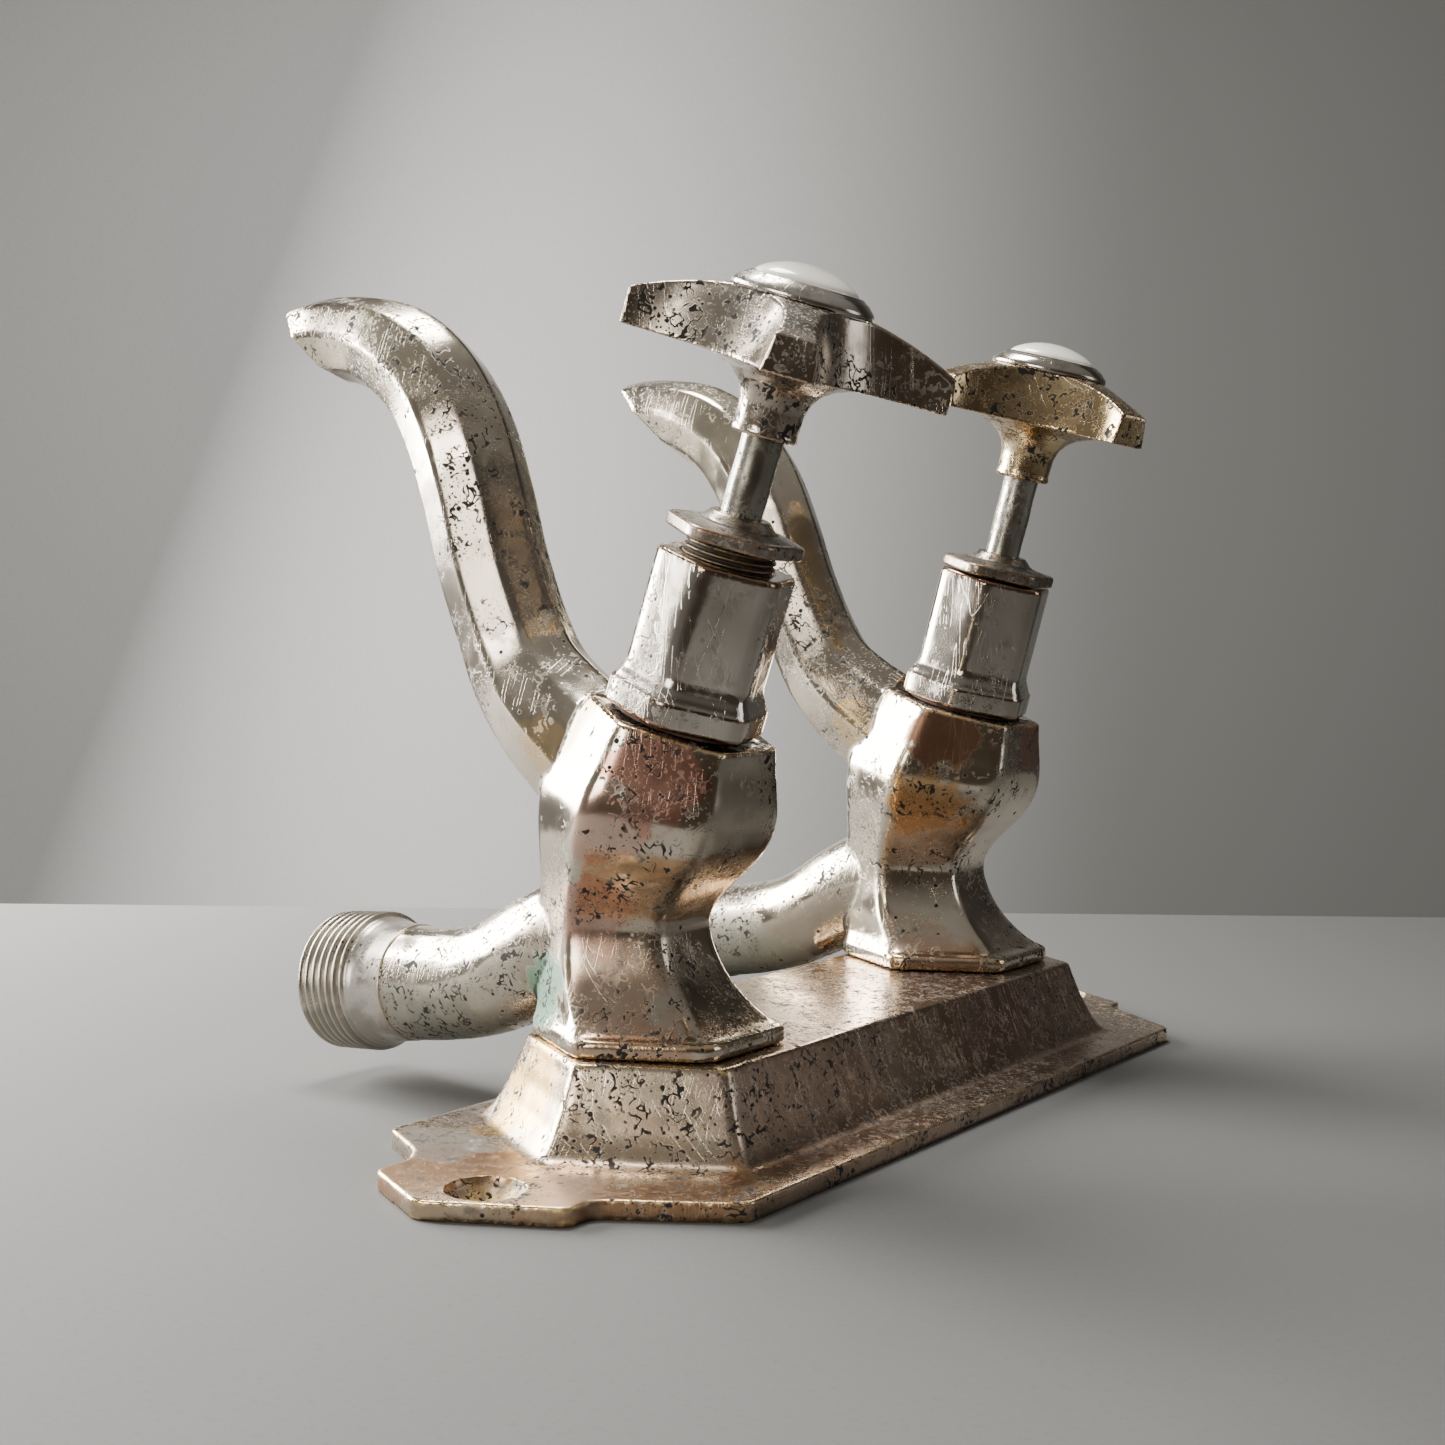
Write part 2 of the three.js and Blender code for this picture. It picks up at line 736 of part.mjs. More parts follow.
function makeHandle(tap) {
  const cross = loft([
    crossOutline(HANDLE.armLength, HANDLE.tipHalfWidth, HANDLE.valley, HANDLE.underside),
    crossOutline(HANDLE.armLength, HANDLE.topTipHalfWidth, HANDLE.topValley, HANDLE.domeApex),
  ]);
  const dome = [[0, HANDLE.underside - 1], [HANDLE.armLength + 2, HANDLE.underside - 1]];
  for (let i = 0; i <= 6; i++) {
    const r = (HANDLE.armLength + 2) * (1 - i / 6);
    const drop = HANDLE.domeRadius - Math.sqrt(HANDLE.domeRadius ** 2 - r ** 2);
    dome.push([r, HANDLE.domeApex - drop]);
  }
  const collar = turned([
    [0, HANDLE.collarBottom],
    [5.4, HANDLE.collarBottom],
    [5.6, HANDLE.collarBottom + 0.8],
    [5.6, 54.0],
    [6.1, 56.0],
    [7.3, 57.6],
    [9.2, 58.9],
    [11.4, 59.7],
    [13.6, HANDLE.underside + 0.2],
    [0, HANDLE.underside + 0.2],
  ]);
  const handle = cut(
    join(common(cross, turned(dome, 24)), collar),
    rod(HANDLE.indexSeatRadius, HANDLE.indexSeat, HANDLE.domeApex + 2, FINE),
    rod(SPINDLE.radius + GAP, HANDLE.collarBottom - 1, SPINDLE.seatTop + GAP),
    rod(SPINDLE.tenonRadius + GAP, HANDLE.collarBottom, HANDLE.domeApex),
    rod(4.5, SPINDLE.top + 0.6, HANDLE.domeApex + 1),
  );
  handle.rotateZ((tap.handleTurn - 90) * RAD);
  return handle;
}

function makeHandleScrew() {
  const seat = SPINDLE.top + 0.75;
  const screw = turned([
    [0, SPINDLE.top - 8],
    [1.55, SPINDLE.top - 8],
    [1.55, seat],
    [4.2, seat],
    [4.2, seat + 1.4],
    [3.2, seat + 2.3],
    [0, seat + 2.3],
  ], COARSE);
  const slot = new THREE.BoxGeometry(10, 0.9, 1.6);
  slot.translate(0, 0, seat + 2.3);
  return cut(screw, slot);
}

function makeIndexRing() {
  const seat = HANDLE.indexSeat + GAP;
  return turnedRing([
    [6.2, seat],
    [11.8, seat],
    [11.8, seat + 0.9],
    [10.7, seat + 2.4],
    [9.8, seat + 2.6],
    [8.8, seat + 3.7],
    [8.1, seat + 3.8],
    [8.1, seat + 2.4],
    [6.2, seat + 2.4],
  ]);
}

function makeIndexDisc() {
  const bottom = HANDLE.indexSeat + GAP + 2.5;
  return turned([
    [0, bottom],
    [7.7, bottom],
    [7.9, bottom + 0.3],
    [7.9, bottom + 1.2],
    [7.0, bottom + 2.0],
    [5.2, bottom + 2.8],
    [2.8, bottom + 3.3],
    [0, bottom + 3.5],
  ]);
}

// ---------------------------------------------------------------- fixings under the plate

function makeBacknutWasher() {
  return tube(BACKNUT.washerRadius, SPIGOT.radius + 0.2, -PLATE.wall - BACKNUT.washer, -PLATE.wall);
}

function makeBacknut() {
  const top = -PLATE.wall - BACKNUT.washer;
  const bottom = top - BACKNUT.thickness;
  return cut(hexPrism(BACKNUT.corner, bottom, top), rod(SPIGOT.radius + 0.1, bottom - 1, top + 1, FINE));
}

// ---------------------------------------------------------------- assembly

function addMesh(parent, name, geometry, material) {
  const mesh = new THREE.Mesh(geometry, new THREE.MeshStandardMaterial(material));
  mesh.name = name;
  parent.add(mesh);
}

function makeTap(tap) {
  const base = new THREE.Group();
  base.position.set(FOOT_X + tap.shift, (tap.side * TAP_SPACING) / 2, PLATE.top);
  addMesh(base, `body_${tap.name}`, makeBody(tap), finish.plated);
  addMesh(base, `spout_${tap.name}`, makeSpout(tap), finish.plated);
  addMesh(base, `inlet_tail_${tap.name}`, makeTail(tap), finish.plated);
  addMesh(base, `backnut_washer_${tap.name}`, makeBacknutWasher(), finish.brass);
  addMesh(base, `backnut_${tap.name}`, makeBacknut(), finish.brass);

  const head = new THREE.Group();
  head.position.set(HEAD_BASE[0] + tap.headShift, 0, HEAD_BASE[1]);
  head.rotation.y = tap.lean * RAD;
  addMesh(head, `bonnet_washer_${tap.name}`, makeBonnetWasher(), finish.fibre);
  addMesh(head, `bonnet_${tap.name}`, makeBonnet(), finish.plated);
  addMesh(head, `gland_nut_${tap.name}`, makeGlandNut(tap), finish.plated);
  addMesh(head, `gland_packing_${tap.name}`, makePacking(tap), finish.packing);
  addMesh(head, `spindle_${tap.name}`, makeSpindle(), finish.plated);
  addMesh(head, `jumper_valve_${tap.name}`, makeJumper(), finish.brass);
  addMesh(head, `seat_washer_${tap.name}`, makeSeatWasher(), finish.rubber);
  addMesh(head, `washer_nut_${tap.name}`, makeWasherNut(), finish.brass);
  addMesh(head, `handle_${tap.name}`, makeHandle(tap), finish.plated);
  addMesh(head, `handle_screw_${tap.name}`, makeHandleScrew(), finish.brass);
  addMesh(head, `index_ring_${tap.name}`, makeIndexRing(), finish.plated);
  addMesh(head, `index_disc_${tap.name}`, makeIndexDisc(), finish.porcelain);
  base.add(head);
  return base;
}

const group = new THREE.Group();
addMesh(group, "backplate", makePlate(), finish.plate);
for (const tap of TAPS) group.add(makeTap(tap));

// The origin stands under the middle of the whole set, on the plate's back face.
group.updateMatrixWorld(true);
const extent = new THREE.Box3().setFromObject(group, true);
group.position.x = -(extent.min.x + extent.max.x) / 2;

export default group;
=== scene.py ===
import math

import bmesh
import bpy
import numpy as np
from mathutils import Matrix, Vector, noise


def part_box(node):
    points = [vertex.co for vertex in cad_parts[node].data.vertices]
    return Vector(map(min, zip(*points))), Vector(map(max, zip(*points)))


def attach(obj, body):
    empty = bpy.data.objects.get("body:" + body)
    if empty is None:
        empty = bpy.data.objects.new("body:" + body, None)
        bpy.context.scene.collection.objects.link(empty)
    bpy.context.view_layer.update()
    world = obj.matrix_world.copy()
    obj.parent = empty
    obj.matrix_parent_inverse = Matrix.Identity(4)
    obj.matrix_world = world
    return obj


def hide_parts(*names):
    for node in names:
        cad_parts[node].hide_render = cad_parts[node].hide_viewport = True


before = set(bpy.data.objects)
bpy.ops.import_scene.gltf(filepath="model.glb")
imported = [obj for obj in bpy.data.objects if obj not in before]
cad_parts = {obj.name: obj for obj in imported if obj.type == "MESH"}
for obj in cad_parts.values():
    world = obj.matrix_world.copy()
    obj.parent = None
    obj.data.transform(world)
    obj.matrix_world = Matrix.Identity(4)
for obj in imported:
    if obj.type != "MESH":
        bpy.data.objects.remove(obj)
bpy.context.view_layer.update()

# ---------------------------------------------------------------- dimensions, in mm
# The tap frame starts at the centre of a tap's foot; the head frame runs up its leaning axis.

MM = 0.001
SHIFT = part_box("backplate")[0].x / MM + 32.0  # moves the plate's own frame to the row frame
FOOT_X = -1.0
PLATE_TOP = 17.6
SPACING = 102.0
HEAD = (4.2, 54.2)
BOX_X = 1.3

TAPS = {
    "near": dict(side=-1, shift=0.6, lean=18.4, head=0.0, droop=0.0, short=0.0,
                 tail=0.0, turn=36.5, lift=3.2),
    "far": dict(side=1, shift=-0.6, lean=14.5, head=-0.8, droop=3.8, short=7.4,
                tail=3.5, turn=-20.0, lift=0.3),
}

# Rows of the foot and the vase above it: x, height, corner radius, share of the tap's lean.
FOOT = [(0, 0, 22.3, 0), (0, 0.4, 22.4, 0), (0, 2.7, 22.4, 0), (-0.3, 3.1, 21.9, 0)]
VASE = [
    (-1.2, 3.5, 21.0, 0), (-3.0, 5.9, 19.2, 0), (-5.3, 9.4, 17.7, 0), (-6.8, 13.4, 16.4, 0),
    (-7.6, 17.9, 15.5, 0), (-7.4, 21.4, 15.5, 0.05), (-6.0, 25.4, 16.6, 0.16),
    (-3.9, 29.9, 18.6, 0.3), (-2.2, 34.4, 20.3, 0.44), (-0.9, 38.9, 21.0, 0.57),
    (0.3, 42.9, 20.6, 0.68), (1.6, 46.6, 19.4, 0.79), (2.8, 50.4, 18.2, 0.9), (*HEAD, 17.0, 1),
]
# Rows of the arms and ducts: x, height, radius.
SPOUT = [
    (-7.0, 40.4, 13.5), (-14.0, 46.9, 12.8), (-22.5, 53.4, 12.0), (-29.3, 60.4, 11.0),
    (-34.0, 68.9, 10.4), (-38.9, 80.4, 10.4), (-42.8, 92.7, 10.4), (-47.3, 104.0, 10.4),
    (-53.6, 113.2, 10.1), (-61.8, 119.3, 9.6), (-71.5, 122.8, 8.5), (-82.5, 123.7, 8.3),
    (-93.0, 121.5, 8.3), (-103.0, 117.1, 8.3),
]
SPOUT_PIVOT = (-22.5, 53.4)
MOUTH_TIP = (-90.4, 130.6)
MOUTH_HEEL = (-77.0, 115.2)
TAIL = [
    (-8.0, 16.5, 12.0), (-17.0, 14.6, 11.8), (-25.0, 11.6, 11.2), (-32.0, 8.0, 10.6),
    (-40.0, 4.8, 10.4), (-49.0, 3.0, 10.6), (-58.0, 2.1, 10.9),
]
TAIL_PIVOT = (-17.0, 14.6)
SPOUT_BORE, INLET_BORE, TAIL_BORE = 6.4, 5.5, 6.8
SPOT_FACE, SHANK_BORE, CHAMBER, SEAT_HOLE = 15.2, 10.15, 9.3, 5.5
SPIGOT, SPIGOT_HOLE = 8.0, 8.3
OUTLET = [
    (0.5, 38.6, SPOUT_BORE), (-7.0, 42.4, SPOUT_BORE), (-14.0, 46.9, SPOUT_BORE),
    (-22.5, 53.4, SPOUT_BORE), (-29.3, 60.4, SPOUT_BORE),
]
INLET = [
    (-4.6, 27.0, INLET_BORE), (-6.6, 20.5, INLET_BORE), (-12.0, 15.8, INLET_BORE),
    (-19.0, 13.9, INLET_BORE), (-26.0, 11.2, INLET_BORE), (-33.0, 7.6, INLET_BORE),
]
TAIL_BORE_END = (-66.0, 1.4, TAIL_BORE)
TAIL_SLOPE = 5.0
THREAD_R, THREAD_DEPTH, THREAD_PITCH, THREAD_TURNS, BARREL = 13.2, 1.1, 1.81, 7, 6.2

FLANGE_END = [
    (38.4, 79.0), (23.0, 89.4), (19.3, 92.0), (19.3, 97.1), (-1.0, 108.5),
    (-16.8, 101.0), (-16.8, 93.6), (-20.5, 89.0), (-32.0, 83.0),
]
BOX_SIDES = [
    (1.6, 29.6), (3.0, 29.4), (3.4, 28.2), (4.1, 27.2), (5.5, 26.1), (7.2, 25.1), (9.0, 24.3),
    (11.2, 23.3), (13.5, 22.5), (15.6, 21.7), (17.2, 21.2), (PLATE_TOP, 20.8),
]
HOLE = (3.3, 97.6)
AXIS = 0.001  # the radius at which a turned profile closes

CAMERA_PLACE = Vector((191.717 + SHIFT, -300.784, 87.532)) * MM
CAMERA_AZIMUTH, CAMERA_PITCH, CAMERA_ROLL = 0.62348, 0.05116, 0.01664  # radians
CAMERA_LENS, CAMERA_SENSOR = 46.48, 36.0

# ---------------------------------------------------------------- numpy shapes


def spline(points, count):
    """Points on a smooth curve through the given rows, evenly spread over its length."""
    p = np.array(points, float)
    p = np.vstack([2 * p[0] - p[1], p, 2 * p[-1] - p[-2]])
    out = []
    steps = 24
    for i in range(1, len(p) - 2):
        for t in np.linspace(0, 1, steps, endpoint=False):
            a, b, c, d = p[i - 1], p[i], p[i + 1], p[i + 2]
            out.append(0.5 * (2 * b + (c - a) * t + (2 * a - 5 * b + 4 * c - d) * t**2
                              + (3 * b - a - 3 * c + d) * t**3))
    out.append(p[-2])
    out = np.array(out)
    length = np.concatenate([[0], np.cumsum(np.linalg.norm(np.diff(out[:, :2], axis=0), axis=1))])
    at = np.linspace(0, length[-1], count)
    return np.stack([np.interp(at, length, out[:, k]) for k in range(out.shape[1])], 1)


def polygon(sides, samples, worn):
    """Unit polygon with eased corners, first corner at -Y: rows of (across, along Y)."""
    angle = around(samples)
    half = math.pi / sides
    flat = math.cos(half) / np.cos(np.mod(angle, 2 * half) - half)
    sharp = 70.0
    r = -np.log(np.exp(-sharp * flat) + math.exp(-sharp * (1 - worn))) / sharp
    return np.stack([r * np.sin(angle), -r * np.cos(angle)], 1)


def skin(rings, wrap=False):
    """Vertices and faces over a stack of rings with equal counts, capped unless wrapped."""
    rings = [np.asarray(r, float) for r in rings]
    n, m = len(rings[0]), len(rings)
    verts = np.vstack(rings)
    faces = []
    for k in range(m if wrap else m - 1):
        low, high = k * n, ((k + 1) % m) * n
        for i in range(n):
            j = (i + 1) % n
            faces.append((low + i, low + j, high + j, high + i))
    if not wrap:
        faces.append(tuple(reversed(range(n))))
        faces.append(tuple(range((m - 1) * n, m * n)))
    return verts, faces


def round_ring(radius, z, angle):
    """Points round the Z axis; the radius is one number, or one for each angle."""
    return np.stack([radius * np.cos(angle), radius * np.sin(angle), np.full(len(angle), z)], 1)


def flat_ring(outline, z):
    return np.column_stack([outline, np.full(len(outline), z)])


def around(samples):
    """Evenly spread angles of one full turn."""
    return np.arange(samples) * 2 * math.pi / samples


def lathe(profile, samples=96):
    """A solid turned about Z from (radius, height) rows; a profile clear of the axis is wrapped."""
    angle = around(samples)
    return skin([round_ring(r, z, angle) for r, z in profile], wrap=profile[0][0] > 10 * AXIS)


def rod(radius, low, high, samples=48):
    return lathe([(AXIS, low), (radius, low), (radius, high), (AXIS, high)], samples)


def swept(path, outline, count, start=0.0, end=1.0):
    """An outline carried along an XZ path whose third column is its radius."""
    rows = spline(path, 400)
    rows = rows[int(start * 399):int(end * 399) + 1]
    pick = np.linspace(0, len(rows) - 1, count).astype(int)
    tangent = np.gradient(rows[:, :2], axis=0)
    tangent /= np.linalg.norm(tangent, axis=1)[:, None]
    rings = []
    for i in pick:
        x, z, r = rows[i]
        tx, tz = tangent[i]
        rings.append(np.stack([x - tz * outline[:, 0] * r, outline[:, 1] * r,
                               z + tx * outline[:, 0] * r], 1))
    return skin(rings[::-1])


def turn_y(points, degrees, pivot=(0.0, 0.0)):
    """Turns points about an axis along Y through the (x, z) pivot."""
    c, s = math.cos(math.radians(degrees)), math.sin(math.radians(degrees))
    x, z = points[:, 0] - pivot[0], points[:, 2] - pivot[1]
    return np.stack([x * c + z * s + pivot[0], points[:, 1], z * c - x * s + pivot[1]], 1)


def turn_z(points, degrees):
    c, s = math.cos(math.radians(degrees)), math.sin(math.radians(degrees))
    return np.stack([points[:, 0] * c - points[:, 1] * s, points[:, 0] * s + points[:, 1] * c,
                     points[:, 2]], 1)


def from_head(points, tap):
    """Head frame to tap frame."""
    return turn_y(points, tap["lean"]) + np.array([HEAD[0] + tap["head"], 0, HEAD[1]])


def from_tap(points, tap):
    """Tap frame to row frame."""
    return points + np.array([FOOT_X + tap["shift"] + SHIFT, tap["side"] * SPACING / 2, PLATE_TOP])


def head_to_row(points, tap):
    return from_tap(from_head(points, tap), tap)


def spout_to_row(points, tap):
    return from_tap(turn_y(points, -tap["droop"], SPOUT_PIVOT), tap)


def tail_to_row(points, tap):
    return from_tap(turn_y(points, -tap["tail"], TAIL_PIVOT), tap)


# ---------------------------------------------------------------- Blender objects


def make_object(name, verts, faces):
    mesh = bpy.data.meshes.new(name)
    mesh.from_pydata((np.asarray(verts) * MM).tolist(), [], faces)
    mesh.update()
    obj = bpy.data.objects.new(name, mesh)
    bpy.context.scene.collection.objects.link(obj)
    return obj


def baked(obj):
    """Applies the object's modifiers to its mesh."""
    graph = bpy.context.evaluated_depsgraph_get()
    mesh = bpy.data.meshes.new_from_object(obj.evaluated_get(graph))
    old = obj.data
    obj.modifiers.clear()
    obj.data = mesh
    bpy.data.meshes.remove(old)
    mesh.name = obj.name
    return obj


def volume(obj):
    """Signed volume in mm3; a solid whose faces point inwards comes out negative."""
    shape = bmesh.new()
    shape.from_mesh(obj.data)
    size = shape.calc_volume(signed=True) / MM ** 3
    shape.free()
    return size


def combine(obj, operation, *tools):
    """Joins or cuts with each tool in turn, and stops if a tool is inside out or changes nothing."""
    for tool in tools:
        before = volume(obj)
        if volume(tool) <= 0:
            raise RuntimeError(tool.name + " faces inwards")
        m = obj.modifiers.new("bool", "BOOLEAN")
        m.operation = operation
        m.solver = "MANIFOLD"
        m.object = tool
        baked(obj)
        change = volume(obj) - before
        if not obj.data.vertices or abs(change) < 0.5 or (change > 0) != (operation == "UNION"):
            raise RuntimeError(operation + " with " + tool.name + " failed on " + obj.name)
        bpy.data.objects.remove(tool)
    return obj


def remesh(obj, voxel, smooth):
    m = obj.modifiers.new("remesh", "REMESH")
    m.mode = "VOXEL"
    m.voxel_size = voxel * MM * 1.0
    m.use_smooth_shade = True
    if smooth:
        s = obj.modifiers.new("smooth", "SMOOTH")
        s.factor = 0.5
        s.iterations = smooth
    return baked(obj)


def neighbours_mean(values, edges, counts):
    total = np.zeros_like(values)
    np.add.at(total, edges[:, 0], values[edges[:, 1]])
    np.add.at(total, edges[:, 1], values[edges[:, 0]])
    return total / (counts[:, None] if values.ndim > 1 else counts)


def wear_map(obj, waviness=0.0, soften=3):
    """Stores the surface's bend, in 1/mm, as the attribute 'bend': worn edges are positive."""
    mesh = obj.data
    count = len(mesh.vertices)
    co = np.empty(count * 3)
    mesh.vertices.foreach_get("co", co)
    co = co.reshape(-1, 3) / MM
    no = np.empty(count * 3)
    mesh.vertices.foreach_get("normal", no)
    no = no.reshape(-1, 3)
    edges = np.empty(len(mesh.edges) * 2, int)
    mesh.edges.foreach_get("vertices", edges)
    edges = edges.reshape(-1, 2)
    counts = np.maximum(np.bincount(edges.ravel(), minlength=count), 1)
    length = np.linalg.norm(co[edges[:, 0]] - co[edges[:, 1]], axis=1)
    span = np.bincount(edges.ravel(), weights=np.repeat(length, 2), minlength=count) / counts
    lap = neighbours_mean(co, edges, counts) - co
    bend = -4 * (lap * no).sum(1) / np.maximum(span, 0.05) ** 2
    bend = np.clip(bend, -3, 3)
    for _ in range(soften):
        bend = 0.4 * bend + 0.6 * neighbours_mean(bend, edges, counts)
    if waviness:
        wave = np.array([noise.noise(Vector(p) / 9.0) + 0.5 * noise.noise(Vector(p) / 3.5)
                         for p in co])
        co = co - no * (waviness * (0.75 + 0.5 * wave))[:, None]
        mesh.vertices.foreach_set("co", (co * MM).ravel())
    attribute = mesh.attributes.new("bend", "FLOAT", "POINT")
    attribute.data.foreach_set("value", bend.astype(np.float32))
    mesh.polygons.foreach_set("use_smooth", np.ones(len(mesh.polygons), bool))
    mesh.update()
    return obj


# ---------------------------------------------------------------- materials


class Shade:
    """A small builder for a metal or painted surface driven by procedural textures."""

    def __init__(self, name):
        self.material = bpy.data.materials.new(name)
        self.material.use_nodes = True
        self.tree = self.material.node_tree
        self.tree.nodes.clear()
        self.coord = self.add("ShaderNodeTexCoord").outputs["Object"]

    def add(self, kind, **settings):
        node = self.tree.nodes.new(kind)
        for key, value in settings.items():
            setattr(node, key, value)
        return node

    def feed(self, socket, value):
        if isinstance(value, bpy.types.NodeSocket):
            self.tree.links.new(value, socket)
        else:
            socket.default_value = value

    def math(self, operation, a, b=0.0, clamp=False):
        node = self.add("ShaderNodeMath", operation=operation, use_clamp=clamp)
        self.feed(node.inputs[0], a)
        self.feed(node.inputs[1], b)
        return node.outputs[0]

    def ramp(self, value, low, high, to_low=0.0, to_high=1.0):
        node = self.add("ShaderNodeMapRange", interpolation_type="SMOOTHSTEP")
        self.feed(node.inputs["Value"], value)
        for key, x in (("From Min", low), ("From Max", high), ("To Min", to_low), ("To Max", to_high)):
            self.feed(node.inputs[key], x)
        return node.outputs["Result"]

    def mix(self, factor, a, b):
        node = self.add("ShaderNodeMix", data_type="RGBA")
        self.feed(node.inputs["Factor"], factor)
        for socket, x in ((node.inputs[6], a), (node.inputs[7], b)):
            self.feed(socket, (*x, 1.0) if isinstance(x, tuple) and len(x) == 3 else x)
        return node.outputs[2]

    def blend(self, factor, a, b):
        node = self.add("ShaderNodeMix", data_type="FLOAT")
        self.feed(node.inputs["Factor"], factor)
        self.feed(node.inputs[2], a)
        self.feed(node.inputs[3], b)
        return node.outputs[0]

    def place(self, offset=(0, 0, 0), scale=(1, 1, 1), rotation=(0, 0, 0), source=None):
        node = self.add("ShaderNodeMapping")
        self.feed(node.inputs["Vector"], source or self.coord)
        node.inputs["Location"].default_value = offset
        node.inputs["Scale"].default_value = scale
        node.inputs["Rotation"].default_value = rotation
        return node.outputs[0]

    def noise(self, size, detail=2.0, seed=0.0, stretch=(1, 1, 1), rotation=(0, 0, 0), distort=0.0):
        """Noise whose features measure about size mm."""
        where = self.place((seed, seed * 1.7, seed * 0.6), stretch, rotation)
        node = self.add("ShaderNodeTexNoise")
        self.feed(node.inputs["Vector"], where)
        node.inputs["Scale"].default_value = 1000.0 / size
        node.inputs["Detail"].default_value = detail
        node.inputs["Roughness"].default_value = 0.55
        node.inputs["Distortion"].default_value = distort
        return node.outputs["Fac"]

    def cells(self, size, seed=0.0, stretch=(1, 1, 1), rotation=(0, 0, 0)):
        where = self.place((seed, seed * 1.3, seed * 0.4), stretch, rotation)
        node = self.add("ShaderNodeTexVoronoi")
        self.feed(node.inputs["Vector"], where)
        node.inputs["Scale"].default_value = 1000.0 / size
        return node.outputs["Distance"]

    def bend(self):
        return self.add("ShaderNodeAttribute", attribute_name="bend").outputs["Fac"]

    def near(self, centre, radius, rough, softness=0.35):
        """1 inside a ragged patch round a point, given in mm in the row frame."""
        node = self.add("ShaderNodeVectorMath", operation="DISTANCE")
        self.feed(node.inputs[0], self.coord)
        node.inputs[1].default_value = tuple(c * MM for c in centre)
        distance = self.math("DIVIDE", node.outputs["Value"], radius * MM)
        ragged = self.math("ADD", distance, self.math("MULTIPLY", self.math("SUBTRACT", rough, 0.5), 1.5))
        return self.ramp(ragged, 1.0 + softness / 2, 1.0 - softness / 2)

    def bump(self, height, depth, strength=1.0):
        node = self.add("ShaderNodeBump")
        node.inputs["Strength"].default_value = strength
        node.inputs["Distance"].default_value = depth * MM
        self.feed(node.inputs["Height"], height)
        return node.outputs["Normal"]

    def output(self, color, roughness, metallic=0.0, normal=None):
        surface = self.add("ShaderNodeBsdfPrincipled")
        self.feed(surface.inputs["Base Color"], (*color, 1.0) if isinstance(color, tuple) else color)
        self.feed(surface.inputs["Roughness"], roughness)
        self.feed(surface.inputs["Metallic"], metallic)
        if normal is not None:
            self.feed(surface.inputs["Normal"], normal)
        out = self.add("ShaderNodeOutputMaterial")
        self.tree.links.new(surface.outputs[0], out.inputs["Surface"])
        self.surface = surface
        return self.material


